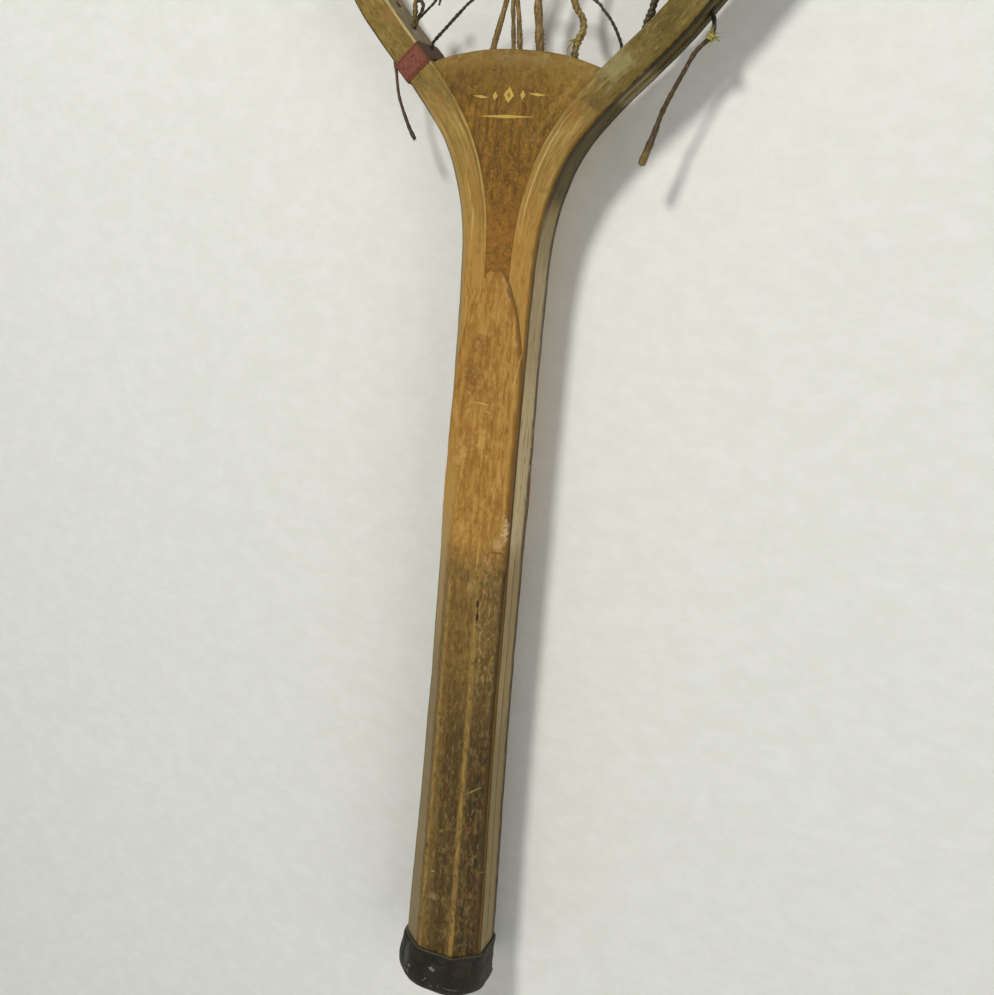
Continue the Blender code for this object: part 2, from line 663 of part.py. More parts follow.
def make_remains():
    """Broken strings near the throat: a slack arch, stubs, a tuft and two tails outside the hoop."""
    lowest, second, third, fourth = (HOLES_PER_SIDE - 1 - step for step in range(4))
    width = strip_width(CROWN_HEIGHT)
    inward = (-width * 0.4, -width - HOLE_EXIT)
    outward = (-width * 0.5, GAP)
    left = [hole_point(lowest, -1, offset) for offset in inward]
    right = [hole_point(lowest, 1, offset) for offset in inward]
    arch = smooth_route([left[1], *over_crown(ARCH), right[1]], ROUTE_STEP)
    string("arch_string", [left[0], *arch, right[0]], ARCH_RADII, DARK_GUT)
    string("broken_main_string", smooth_route(over_crown(SLACK_5), ROUTE_STEP * 0.6), BROKEN_RADII, GUT)
    string("knotted_string", from_hole(second, 1, 0.0, inward, KNOTTED), KNOTTED_RADII, DARK_GUT)
    loop = from_hole(second, -1, -TUFT_SPREAD, inward, TUFT_LOOP)
    string("tuft_loop_string", loop, TUFT_LOOP_RADII, DARK_GUT)
    strand = from_hole(second, -1, TUFT_SPREAD, inward, TUFT_STRAND)
    string("tuft_strand", strand, TUFT_STRAND_RADII, DARK_GUT)
    string("left_tail", from_hole(third, -1, 0.0, outward, LEFT_TAIL), LEFT_TAIL_RADII, DARK_GUT, 2)
    string("right_tail", from_hole(fourth, 1, 0.0, outward, RIGHT_TAIL), RIGHT_TAIL_RADII, DARK_GUT, 2)


def make_hoop_holes():
    """Cutter for the string holes through the hoop."""
    bars = []
    for side in (-1, 1):
        for index in range(HOLES_PER_SIDE):
            width = strip_width(outline_frame(hole_run(index, side))[0].y)
            inside = hole_point(index, side, -width - HOLE_CUT_MARGIN)
            outside = hole_point(index, side, HOLE_CUT_MARGIN)
            bars.append((inside, outside, HOLE_RADIUS))
    return cutter("hoop_hole_tool", bars)


def make_crown_holes():
    """Cutter for the holes in the wedge's crown that the long strings come out of."""
    bars = []
    for slack, radius in CROWN_HOLES:
        low, above = over_crown(slack[:2])
        direction = (above - low).normalized()
        bars.append((above - direction * CROWN_HOLE_DEPTH, above + direction * CROWN_HOLE_RISE, radius * MM))
    return cutter("crown_hole_tool", bars)


def main():
    """Builds the racket."""
    clear_scene()
    hoop_holes = make_hoop_holes()
    make_bow(hoop_holes)
    make_wedge(make_crown_holes())
    make_slab("front_handle_slab", -1)
    make_slab("back_handle_slab", 1)
    make_band()
    make_binding(hoop_holes)
    make_long_mains()
    make_short_mains()
    make_crosses()
    make_remains()


main()
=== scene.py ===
"""Old wooden racket on a pale wall: bent ash strip, wedge throat, eight-sided handle and slack gut strings.

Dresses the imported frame. Everything is in metres in the frame's own axes: +Z up the racket, +X to the right
of the front face, -Y out of the front face, with the middle of the butt's end face at the origin. Lists of
sizes are in millimetres.
"""

import bisect
import logging
import math
import random
from dataclasses import dataclass, field
from enum import Enum
from typing import Any, Callable, Iterable, Sequence

import bmesh
import bpy
from mathutils import Matrix, Vector, noise


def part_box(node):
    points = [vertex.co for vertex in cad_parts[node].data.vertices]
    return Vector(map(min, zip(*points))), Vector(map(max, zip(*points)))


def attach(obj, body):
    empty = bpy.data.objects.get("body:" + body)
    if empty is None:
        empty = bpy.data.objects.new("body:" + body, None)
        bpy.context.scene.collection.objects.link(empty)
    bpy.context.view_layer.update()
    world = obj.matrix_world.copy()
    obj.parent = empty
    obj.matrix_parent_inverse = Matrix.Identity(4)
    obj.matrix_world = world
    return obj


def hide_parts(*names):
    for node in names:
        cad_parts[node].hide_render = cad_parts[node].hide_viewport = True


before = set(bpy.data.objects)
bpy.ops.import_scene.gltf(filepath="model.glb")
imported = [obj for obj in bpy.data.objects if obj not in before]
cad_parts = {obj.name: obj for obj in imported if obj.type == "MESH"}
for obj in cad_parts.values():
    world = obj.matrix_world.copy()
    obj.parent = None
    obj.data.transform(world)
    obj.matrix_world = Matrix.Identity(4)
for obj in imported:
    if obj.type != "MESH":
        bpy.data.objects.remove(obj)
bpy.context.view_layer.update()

MM = 0.001
LOG = logging.getLogger("racket")
ROOT = "root"
STRIP_MAP = "strip"
RIM_MAP = "rim"
SMOOTH = "SMOOTHSTEP"
# A noise pattern lies mostly within a sixth of its middle, and the gain spreads it to about half.
NOISE_MIDDLE = 0.5
NOISE_GAIN = 3.0
# Bored edges leave vertices within a few micrometres of each other, which are one vertex.
WELD = 4e-6
SLIVER = 2e-6
# Edges steeper than this, in degrees, show as edges; a round strand's own facets stay smooth.
SHARP_ANGLE = 40.0
ROUND_ANGLE = 80.0
# A limit is a pattern of a material, its value where a colour starts and its value where the colour is full.
Socket = bpy.types.NodeSocket
Limit = tuple[Socket, float, float]


class Side(Enum):
    """Left or right of the racket's middle, seen from the front."""

    LEFT = -1
    RIGHT = 1


class Face(Enum):
    """Front or back of the racket."""

    FRONT = -1
    BACK = 1


class Spread(Enum):
    """Outline of a mark on a surface."""

    OVAL = "oval"
    LOZENGE = "lozenge"
    SLAB = "slab"


class Axis(Enum):
    """Direction that a change of colour is measured along."""

    ACROSS = "across the racket"
    DEPTH = "from front to back"
    HEIGHT = "over the butt"
    OFFSET = "out from the strip's outer face"
    EDGE = "in from the glued edge"
    RIM = "from the nearest worn edge"


def srgb(code: str) -> tuple[float, float, float, float]:
    """Turns an sRGB hex colour into linear RGBA.

    Args:
        code: Six hex digits after a hash sign.

    Returns:
        Linear red, green, blue and full alpha.
    """
    parts = [int(code[place:place + 2], 16) / 255 for place in (1, 3, 5)]
    linear = [part / 12.92 if part <= 0.04045 else ((part + 0.055) / 1.055) ** 2.4 for part in parts]
    return linear[0], linear[1], linear[2], 1.0


def fill_inputs(tree: bpy.types.NodeTree, node: bpy.types.Node, inputs: dict[Any, Any]) -> None:
    """Sets or links inputs of a node.

    Args:
        tree: Node tree of the node.
        node: The node.
        inputs: Value or linked socket for each input, by name or number.
    """
    for name, value in inputs.items():
        if isinstance(value, Socket):
            tree.links.new(value, node.inputs[name])
        else:
            node.inputs[name].default_value = value


def add_node(tree: bpy.types.NodeTree, kind: str, inputs: dict[Any, Any] | None = None,
             **settings: Any) -> bpy.types.Node:
    """Adds a node with its settings, values and links.

    Args:
        tree: Node tree that takes the node.
        kind: Shader node type, such as Mix.
        inputs: Value or linked socket for each input, by name or number.
        **settings: Properties of the node.

    Returns:
        The new node.
    """
    node = tree.nodes.new(f"ShaderNode{kind}")
    for name, value in settings.items():
        setattr(node, name, value)
    fill_inputs(tree, node, inputs or {})
    return node


def between(table: Sequence[Sequence[float]], place: float) -> float:
    """Reads a table of (place, value) rows with rising places along straight lines.

    Args:
        table: Rows of place and value.
        place: Where to read.

    Returns:
        The value there, held level past the ends.
    """
    places = [row[0] for row in table]
    row = min(max(bisect.bisect_right(places, place), 1), len(table) - 1)
    low, high = table[row - 1], table[row]
    share = min(max((place - low[0]) / (high[0] - low[0]), 0.0), 1.0)
    return low[1] + (high[1] - low[1]) * share


class Profile:
    """Smooth curves through a table's columns, read at a place."""

    def __init__(self, rows: Sequence[Sequence[float]]) -> None:
        """Keeps the table; rows hold a rising place and then the values."""
        self.rows = [tuple(row) for row in rows]
        self.places = [row[0] for row in self.rows]

    def slope(self, row: int, column: int) -> float:
        """Slope of a column at a row.

        Args:
            row: Number of the row.
            column: Number of the column.

        Returns:
            The slope, level where the values turn.
        """
        if row in (0, len(self.rows) - 1):
            return 0.0
        before, here, after = self.rows[row - 1], self.rows[row], self.rows[row + 1]
        left = (here[column] - before[column]) / (here[0] - before[0])
        right = (after[column] - here[column]) / (after[0] - here[0])
        return 2 * left * right / (left + right) if left * right > 0 else 0.0

    def at(self, place: float) -> list[float]:
        """Reads the curves.

        Args:
            place: Where to read.

        Returns:
            Values there, held level past the ends.
        """
        row = min(max(bisect.bisect_right(self.places, place), 1), len(self.rows) - 1)
        low, high = self.rows[row - 1], self.rows[row]
        length = high[0] - low[0]
        share = min(max((place - low[0]) / length, 0.0), 1.0)
        values = []
        for column in range(1, len(low)):
            start, stop = self.slope(row - 1, column) * length, self.slope(row, column) * length
            values.append(low[column] * (2 * share ** 3 - 3 * share ** 2 + 1)
                          + start * (share ** 3 - 2 * share ** 2 + share)
                          + high[column] * (3 * share ** 2 - 2 * share ** 3)
                          + stop * (share ** 3 - share ** 2))
        return values


def ease(low: float, high: float, value: float) -> float:
    """Smooth step from 0 at low to 1 at high, which may be the smaller."""
    share = min(max((value - low) / (high - low), 0.0), 1.0)
    return share * share * (3 - 2 * share)


def smooth_route(points: Iterable[Sequence[float]], step: float) -> list[Vector]:
    """Points about one step apart on a smooth curve through given points.

    Args:
        points: Points that the curve passes through.
        step: Distance between the new points.

    Returns:
        The new points, with the first and last given ones at the ends.
    """
    given = [Vector(point) for point in points]
    ends = [given[0] * 2 - given[1], *given, given[-1] * 2 - given[-2]]
    route = [given[0]]
    for before, start, stop, after in zip(ends, ends[1:], ends[2:], ends[3:]):
        count = max(1, round((stop - start).length / step))
        for index in range(1, count + 1):
            share = index / count
            route.append(0.5 * (2 * start + (stop - before) * share
                                + (2 * before - 5 * start + 4 * stop - after) * share ** 2
                                + (3 * start - before - 3 * stop + after) * share ** 3))
    return route


@dataclass(frozen=True)
class RacketSizes:
    """Driving sizes of the racket, those of whole nodes read from the frame."""

    total_length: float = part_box("bow")[1].z
    head_half_width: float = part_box("bow")[1].x
    crown_height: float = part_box("throat_wedge")[1].z
    half_depth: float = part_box("bow")[1].y
    tongue_tip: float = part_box("front_handle_slab")[1].z
    widest_height: float = 0.545
    head_roundness: float = 2.15
    head_points: int = 401
    hole_radius: float = 0.0014
    lowest_hole_drop: float = 0.0093
    holes_per_side: int = 34
    crown_drop: float = 0.0056
    crown_corner: float = 0.0340
    crown_power: float = 2.2
    seam: float = 0.00005
    throat_outline: tuple = (
        (115.2, 113), (106, 77), (90, 43), (70, 15.4), (61.6, 5), (52, -5.2), (42, -15.4), (33.3, -25),
        (26.5, -34.2), (21.6, -44.7), (18, -56.7), (16, -70.2), (15.3, -90.5),
    )
    handle_outline: tuple = (
        (15.2, 268), (15.3, 231), (15.7, 188), (15.9, 143), (16.7, 93), (18, 43), (18.4, 18.8), (18.7, 0),
    )
    strip_width: tuple = (
        (0, 10.3), (328, 10.3), (348, 10.9), (370, 11.4), (384, 12.4), (545, 12.2), (686, 12),
    )


class Outline:
    """Outer outline of the bent strip, followed by its run: the distance from the top of the head."""

    def __init__(self, sizes: RacketSizes) -> None:
        """Works out the outline's points and their runs.

        Args:
            sizes: Sizes of the racket.
        """
        self.sizes = sizes
        self.points = self._right_half()
        self.runs = [0.0]
        for upper, lower in zip(self.points, self.points[1:]):
            self.runs.append(self.runs[-1] + (lower - upper).length)
        lowest = self.run_at(sizes.crown_height - sizes.lowest_hole_drop)
        self.hole_pitch = lowest / (sizes.holes_per_side - 0.5)

    def _right_half(self) -> list[Vector]:
        """Close points from the top of the head down the right side to the butt."""
        sizes = self.sizes
        rise = sizes.total_length - sizes.widest_height
        power = 2 / sizes.head_roundness
        top = []
        for index in range(sizes.head_points):
            angle = index / (sizes.head_points - 1) * math.pi / 2
            top.append(Vector((sizes.head_half_width * math.sin(angle) ** power,
                               sizes.widest_height + rise * max(math.cos(angle), 0.0) ** power)))
        lower = [Vector((half * MM, sizes.crown_height + height * MM))
                 for half, height in sizes.throat_outline]
        lower += [Vector((half * MM, height * MM)) for half, height in sizes.handle_outline]
        lead = Vector((sizes.head_half_width - 0.0025, sizes.widest_height + 0.031))
        curve = smooth_route([lead, top[-1], *lower], 0.5 * MM)
        first = min(range(len(curve)), key=lambda index: (curve[index] - top[-1]).length)
        return top + curve[first + 1:]

    def run_at(self, height: float) -> float:
        """Run of the outline's lower point at a height.

        Args:
            height: Height over the butt.

        Returns:
            Its distance along the outline from the top of the head.
        """
        for index in range(len(self.points) - 1, 0, -1):
            upper, lower = self.points[index - 1].y, self.points[index].y
            if upper >= height >= lower:
                share = (upper - height) / max(upper - lower, 1e-9)
                return self.runs[index - 1] + share * (self.runs[index] - self.runs[index - 1])
        return 0.0

    def at(self, run: float) -> tuple[Vector, Vector]:
        """Point of the outline and the way out of the hoop there.

        Args:
            run: Distance from the top of the head, below zero on the left side.

        Returns:
            Point and outward direction, as X and Z.
        """
        side = -1.0 if run < 0 else 1.0
        distance = min(abs(run), self.runs[-1])
        place = min(max(bisect.bisect_right(self.runs, distance), 1), len(self.runs) - 1)
        share = (distance - self.runs[place - 1]) / (self.runs[place] - self.runs[place - 1])
        point = self.points[place - 1].lerp(self.points[place], share)
        low, high = max(place - 4, 0), min(place + 3, len(self.runs) - 1)
        along = (self.points[high] - self.points[low]).normalized()
        outward = Vector((-along.y, along.x))
        if place < 5:
            outward = Vector((outward.x * distance / self.runs[5], outward.y)).normalized()
        return Vector((side * point.x, point.y)), Vector((side * outward.x, outward.y))

    def width(self, run: float) -> float:
        """Width of the bent strip across its face at a run."""
        return between(self.sizes.strip_width, self.at(run)[0].y / MM) * MM

    def place(self, run: float, outward_offset: float, depth: float = 0.0) -> Vector:
        """Point in space at a run, an offset out from the outer face and a depth toward the back."""
        point, outward = self.at(run)
        spot = point + outward * outward_offset
        return Vector((spot.x, depth, spot.y))

    def hole_run(self, index: int, side: Side) -> float:
        """Run of a string hole counted from the top of the head."""
        return side.value * (index + 0.5) * self.hole_pitch

    def hole(self, index: int, side: Side, outward_offset: float, depth: float = 0.0) -> Vector:
        """Point on a string hole's axis at an offset out from the outer face."""
        return self.place(self.hole_run(index, side), outward_offset, depth)

    def mouth(self, index: int, side: Side) -> Vector:
        """Middle of a string hole's mouth inside the hoop."""
        return self.hole(index, side, -self.width(self.hole_run(index, side)))

    def half_width(self, height: float) -> float:
        """Half width of the racket at a height below the head."""
        return self.at(self.run_at(height))[0].x


@dataclass(frozen=True)
class Corner:
    """Corner of a section, rounded, with the straight edge after it cut into steps."""

    x: float
    y: float
    radius: float
    steps: int = 4
    worn: bool = True


def rounded_section(corners: Sequence[Corner], arc_steps: int = 3) -> tuple[list[Vector], list[float]]:
    """Closed section through rounded corners.

    Args:
        corners: Corners in order round the section.
        arc_steps: Steps in each rounded corner.

    Returns:
        Points of the section, and each point's distance from the nearest worn corner.
    """
    arcs, worn = [], []
    for index, corner in enumerate(corners):
        here = Vector((corner.x, corner.y))
        before, after = corners[index - 1], corners[(index + 1) % len(corners)]
        to_before = (Vector((before.x, before.y)) - here).normalized()
        to_after = (Vector((after.x, after.y)) - here).normalized()
        reach = corner.radius / max(math.tan(to_before.angle(to_after, math.pi) / 2), 0.2)
        start, stop = here + to_before * reach, here + to_after * reach
        arcs.append([start * (1 - share) ** 2 + here * 2 * share * (1 - share) + stop * share ** 2
                     for share in (step / arc_steps for step in range(arc_steps + 1))])
        if corner.worn:
            worn.append((here, reach))
    points = []
    for index, arc in enumerate(arcs):
        points += arc
        stop = arcs[(index + 1) % len(arcs)][0]
        points += [arc[-1].lerp(stop, step / corners[index].steps) for step in range(1, corners[index].steps)]
    rims = [min((max((point - here).length - reach, 0.0) for here, reach in worn), default=0.05)
            for point in points]
    return points, rims


@dataclass
class Skin:
    """Closed skin through rings of points, with a map along and across the wood and one from its edges."""

    name: str
    rings: list[list[Vector]] = field(default_factory=list)
    strip: list[list[tuple[float, float]]] = field(default_factory=list)
    rims: list[list[tuple[float, float]]] = field(default_factory=list)

    def add(self, ring: list[Vector], strip: list[tuple[float, float]] | None = None,
            rims: list[float] | None = None, edges: list[float] | None = None) -> None:
        """Adds a ring of points.

        Args:
            ring: Points in space.
            strip: Each point's place across and along the wood's grain; X and Z where left out.
            rims: Each point's distance from the nearest worn edge; zero where left out.
            edges: Each point's distance from the glued edge; zero where left out.
        """
        self.rings.append(ring)
        self.strip.append(strip or [(point.x, point.z) for point in ring])
        self.rims.append(list(zip(rims or [0.0] * len(ring), edges or [0.0] * len(ring))))

    def build(self, hollow: bool = False, zipped: bool = False,
              sharp_angle: float = SHARP_ANGLE) -> bpy.types.Object:
        """Builds the mesh object.

        Args:
            hollow: Whether the last ring joins the first, for a sleeve or a band.
            zipped: Whether each end is closed by faces from its first half to its second, not by one face.
            sharp_angle: Edges steeper than this stay sharp, in degrees.

        Returns:
            The object, linked to the scene.
        """
        shape = bmesh.new()
        strip_layer = shape.loops.layers.uv.new(STRIP_MAP)
        rim_layer = shape.loops.layers.uv.new(RIM_MAP)
        facts = {}
        rings = []
        for ring, strip, rims in zip(self.rings, self.strip, self.rims):
            verts = [shape.verts.new(point) for point in ring]
            facts.update(zip(verts, zip(strip, rims)))
            rings.append(verts)
        pairs = list(zip(rings, rings[1:]))
        if hollow:
            pairs.append((rings[-1], rings[0]))
        for ring, following in pairs:
            for index, corner in enumerate(ring):
                after = (index + 1) % len(ring)
                shape.faces.new((corner, ring[after], following[after], following[index]))
        for ring in () if hollow else (rings[0], rings[-1]):
            if zipped:
                for index in range(len(ring) // 2 - 1):
                    shape.faces.new((ring[index], ring[index + 1], ring[-index - 2], ring[-index - 1]))
            else:
                shape.faces.new(ring)
        for face in shape.faces:
            for loop in face.loops:
                strip, rim = facts[loop.vert]
                loop[strip_layer].uv = strip
                loop[rim_layer].uv = rim
        bmesh.ops.remove_doubles(shape, verts=shape.verts, dist=1e-7)
        bmesh.ops.dissolve_degenerate(shape, dist=1e-7, edges=shape.edges)
        bmesh.ops.recalc_face_normals(shape, faces=shape.faces)
        return link_mesh(self.name, shape, sharp_angle)


def link_mesh(name: str, shape: bmesh.types.BMesh, sharp_angle: float = SHARP_ANGLE) -> bpy.types.Object:
    """Turns a bmesh into a smooth-shaded object.

    Args:
        name: Name of the object and its mesh.
        shape: The bmesh, freed here.
        sharp_angle: Edges steeper than this stay sharp, in degrees.

    Returns:
        The object, linked to the scene.
    """
    mesh = bpy.data.meshes.new(name)
    shape.to_mesh(mesh)
    shape.free()
    mesh.shade_smooth()
    mesh.set_sharp_from_angle(angle=math.radians(sharp_angle))
    item = bpy.data.objects.new(name, mesh)
    bpy.context.scene.collection.objects.link(item)
    return item


def weather(item: bpy.types.Object, lump: float, depth: float, seed: float,
            keep: Callable[[Vector], float]) -> None:
    """Moves a mesh's points along their normals by soft noise, as wood and leather that have shrunk and worn.

    Args:
        item: Object whose mesh changes.
        lump: Size of the lumps, in metres.
        depth: Furthest that a point moves, in metres.
        seed: Shift of the noise, so that pieces differ.
        keep: Share of the depth at a point.
    """
    shift = Vector((seed, seed * 0.7, seed * 1.3))
    normals = [vertex.normal.copy() for vertex in item.data.vertices]
    for vertex, normal in zip(item.data.vertices, normals):
        amount = noise.fractal(vertex.co / lump + shift, 1.0, 2.0, 3)
        vertex.co += normal * amount * depth * keep(vertex.co)


def dent(item: bpy.types.Object, centre: Sequence[float], reach: Sequence[float], depth: float) -> None:
    """Presses a soft-edged dent into a front face.

    Args:
        item: Object whose mesh changes.
        centre: Middle of the dent, in millimetres.
        reach: Half sizes of the dent, in millimetres.
        depth: Depth at its middle, in millimetres.
    """
    for vertex in item.data.vertices:
        away = math.sqrt(sum(((vertex.co[axis] / MM - centre[axis]) / reach[axis]) ** 2 for axis in range(3)))
        vertex.co.y += depth * MM * ease(1.0, 0.3, away)


def cut_bars(item: bpy.types.Object, bars: Sequence[tuple[Vector, Vector, float]], sides: int = 14) -> None:
    """Bores round holes through an object.

    Args:
        item: Object to bore.
        bars: Start, stop and radius of each hole.
        sides: Sides of each round hole.
    """
    shape = bmesh.new()
    for start, stop, radius in bars:
        axis = stop - start
        turn = axis.to_track_quat("Z", "Y").to_matrix().to_4x4()
        turn.translation = (start + stop) / 2
        bmesh.ops.create_cone(shape, cap_ends=True, segments=sides, radius1=radius, radius2=radius,
                              depth=axis.length, matrix=turn)
    bmesh.ops.recalc_face_normals(shape, faces=shape.faces)
    tool = link_mesh(f"{item.name}_tool", shape)
    step = item.modifiers.new("holes", "BOOLEAN")
    step.operation = "DIFFERENCE"
    step.solver = "EXACT"
    step.object = tool
    seen = item.evaluated_get(bpy.context.evaluated_depsgraph_get())
    bored = bpy.data.meshes.new_from_object(seen)
    clean = bmesh.new()
    clean.from_mesh(bored)
    bmesh.ops.remove_doubles(clean, verts=clean.verts, dist=WELD)
    bmesh.ops.dissolve_degenerate(clean, edges=clean.edges, dist=SLIVER)
    clean.to_mesh(bored)
    clean.free()
    item.modifiers.remove(step)
    item.data = bored
    bpy.data.objects.remove(tool, do_unlink=True)


def dress(item: bpy.types.Object, material: bpy.types.Material, slot: str, *nodes: str) -> bpy.types.Object:
    """Gives a piece its material, rides it on the racket and hides the nodes of the frame that it replaces.

    Args:
        item: The piece.
        material: Its material.
        slot: Name of its finish, only written to the log.
        *nodes: Nodes of the frame that the piece replaces.

    Returns:
        The same piece.
    """
    item.data.materials.clear()
    item.data.materials.append(material)
    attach(item, ROOT)
    if nodes:
        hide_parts(*nodes)
    LOG.info("%s made, %s", item.name, slot)
    return item


@dataclass(frozen=True)
class Mark:
    """Stain, scuff, worn place or painted sheen on a surface, in the frame's millimetres."""

    centre: tuple[float, float, float]
    reach: tuple[float, float, float]
    colour: str
    strength: float = 0.7
    ragged: float = 0.5
    soft: float = 0.5
    turn: float = 0.0
    lump: float = 3.0
    spread: Spread = Spread.OVAL


@dataclass(frozen=True)
class Layer:
    """Colour laid over a wood where all its windows overlap, whole or broken into specks.

    A window is a stretch along one axis: the colour starts at its first number and is full at the second, and
    where there are four it is full up to the third and ends at the fourth. Ragged is how far a window's edges
    wander, over lumps of the given size. Specks have a size across, through and along the grain; cover gives
    the noise values where they start and are full. Relief is their height, below zero for pits.
    """

    colour: str
    strength: float
    ragged: float = 0.6
    lump: tuple[float, float, float] = (3.0, 3.0, 6.0)
    across: tuple[float, ...] | None = None
    depth: tuple[float, ...] | None = None
    height: tuple[float, ...] | None = None
    offset: tuple[float, ...] | None = None
    edge: tuple[float, ...] | None = None
    rim: tuple[float, ...] | None = None
    specks: tuple[float, float, float] | None = None
    cover: tuple[float, float] = (0.5, 0.62)
    relief: float = 0.0


class Palette:
    """Colour of one material, laid down in layers."""

    def __init__(self, name: str) -> None:
        """Starts a material with its places on the racket and those across, through and along the grain.

        Args:
            name: Name of the material.
        """
        self.material = bpy.data.materials.new(name)
        self.material.use_nodes = True
        self.tree = self.material.node_tree
        self.shader = self.tree.nodes["Principled BSDF"]
        self.space = self.add("TexCoord").outputs["Object"]
        self.strip = self.add("UVMap", uv_map=STRIP_MAP).outputs[0]
        strip = self.add("SeparateXYZ", {0: self.strip})
        solid = self.add("SeparateXYZ", {0: self.space})
        rims = self.add("SeparateXYZ", {0: self.add("UVMap", uv_map=RIM_MAP).outputs[0]})
        self.places = {
            Axis.ACROSS: solid.outputs[0], Axis.DEPTH: solid.outputs[1], Axis.HEIGHT: solid.outputs[2],
            Axis.OFFSET: strip.outputs[0], Axis.RIM: rims.outputs[0], Axis.EDGE: rims.outputs[1],
        }
        self.grain = self.add("CombineXYZ", {0: strip.outputs[0], 1: solid.outputs[1],
                                             2: strip.outputs[1]}).outputs[0]
        self.colour: Any = None

    def add(self, kind: str, inputs: dict[Any, Any] | None = None, **settings: Any) -> bpy.types.Node:
        """Adds a node to the material's tree; see add_node."""
        return add_node(self.tree, kind, inputs, **settings)

    def lumps(self, space: Socket, size: Sequence[float], detail: float = 3.0,
              rough: float = 0.55) -> Socket:
        """Noise whose lumps have a real size.

        Args:
            space: Places to read the noise at.
            size: Size of a lump along each axis, in millimetres.
            detail: Octaves of finer noise.
            rough: Strength of the finer noise.

        Returns:
            Noise from 0 to 1, mostly near 0.5.
        """
        scale = tuple(1 / (length * MM) for length in size)
        placed = self.add("VectorMath", {0: space, 1: scale}, operation="MULTIPLY")
        made = self.add("TexNoise", {"Vector": placed.outputs[0], "Scale": 1.0, "Detail": detail,
                                     "Roughness": rough})
        return made.outputs[0]

    def lay(self, colour: str, strength: float, *limits: Limit) -> Socket:
        """Lays a colour over what is there, where every one of some patterns lies past its limits.

        Args:
            colour: Hex code.
            strength: Most that the colour covers.
            *limits: A pattern, its value where the colour starts and its value where the colour is full.

        Returns:
            The mask, 0 where the colour is absent and 1 where it is full.
        """
        mask = None
        for pattern, low, high in limits:
            share = self.add("MapRange", {0: pattern, 1: low, 2: high}, interpolation_type=SMOOTH)
            if mask is None:
                mask = share.outputs[0]
            else:
                both = self.add("Math", {0: mask, 1: share.outputs[0]}, operation="MULTIPLY")
                mask = both.outputs[0]
        cover = self.add("Math", {0: mask, 1: strength}, operation="MULTIPLY").outputs[0]
        mixed = self.add("Mix", {"Factor": cover, 6: self.colour, 7: srgb(colour)}, data_type="RGBA")
        self.colour = mixed.outputs[2]
        return mask

    def lay_mark(self, mark: Mark) -> None:
        """Lays one mark over the colour.

        Args:
            mark: The mark.
        """
        local = self.add("Mapping", {
            "Vector": self.space, "Location": tuple(value * MM for value in mark.centre),
            "Rotation": (0.0, math.radians(mark.turn), 0.0),
            "Scale": tuple(value * MM for value in mark.reach),
        }, vector_type="TEXTURE")
        sized = self.add("VectorMath", {0: local.outputs[0]}, operation="ABSOLUTE").outputs[0]
        if mark.spread is Spread.OVAL:
            reach = self.add("VectorMath", {0: sized}, operation="LENGTH").outputs["Value"]
        elif mark.spread is Spread.LOZENGE:
            reach = self.add("VectorMath", {0: sized, 1: (1.0, 1.0, 1.0)},
                             operation="DOT_PRODUCT").outputs["Value"]
        else:
            parts = self.add("SeparateXYZ", {0: sized}).outputs
            reach = self.add("Math", {0: parts[0], 1: parts[2]}, operation="MAXIMUM").outputs[0]
        rough = self.lumps(self.space, (mark.lump,) * 3, 3.0, 0.65)
        uneven = self.add("Math", {0: rough, 1: -NOISE_MIDDLE}, operation="ADD").outputs[0]
        ragged = self.add("Math", {0: uneven, 1: mark.ragged * NOISE_GAIN, 2: reach},
                          operation="MULTIPLY_ADD")
        self.lay(mark.colour, mark.strength, (ragged.outputs[0], 1.0, 1.0 - mark.soft))

    def lay_layer(self, layer: Layer) -> Socket:
        """Lays one layer over the colour.

        Args:
            layer: The layer.

        Returns:
            Its mask.
        """
        windows = [(self.places[axis], getattr(layer, axis.name.lower())) for axis in Axis]
        windows = [(place, window) for place, window in windows if window]
        limits = []
        if windows:
            rough = self.lumps(self.space, layer.lump, 4.0, 0.62)
            uneven = self.add("Math", {0: rough, 1: -NOISE_MIDDLE}, operation="ADD").outputs[0]
        for place, window in windows:
            ragged = self.add("Math", {0: uneven, 1: layer.ragged * NOISE_GAIN * MM, 2: place},
                              operation="MULTIPLY_ADD").outputs[0]
            limits.append((ragged, window[0] * MM, window[1] * MM))
            if len(window) == 4:
                limits.append((ragged, window[3] * MM, window[2] * MM))
        if layer.specks:
            limits.append((self.lumps(self.grain, layer.specks, 4.0, 0.6), *layer.cover))
        return self.lay(layer.colour, layer.strength, *limits)

    def relief(self, *heights: tuple[Socket, float]) -> Socket:
        """Bump from several patterns, one over another.

        Args:
            *heights: A pattern and its depth in millimetres.

        Returns:
            The bumped normal.
        """
        bump = {}
        for pattern, depth in heights:
            inputs = {"Height": pattern, "Distance": depth * MM, "Strength": 1.0, **bump}
            bump = {"Normal": self.add("Bump", inputs).outputs[0]}
        return bump["Normal"]

    def finish(self, roughness: Any, normal: Socket, shine: float = 0.5) -> bpy.types.Material:
        """Joins the colour, roughness and relief to the shader.

        Args:
            roughness: Socket or number.
            normal: Bumped normal.
            shine: Level of the surface's plain reflection, 0.5 for an index of 1.5.

        Returns:
            The material.
        """
        fill_inputs(self.tree, self.shader, {"Base Color": self.colour, "Roughness": roughness,
                                             "Normal": normal, "Specular IOR Level": shine})
        return self.material


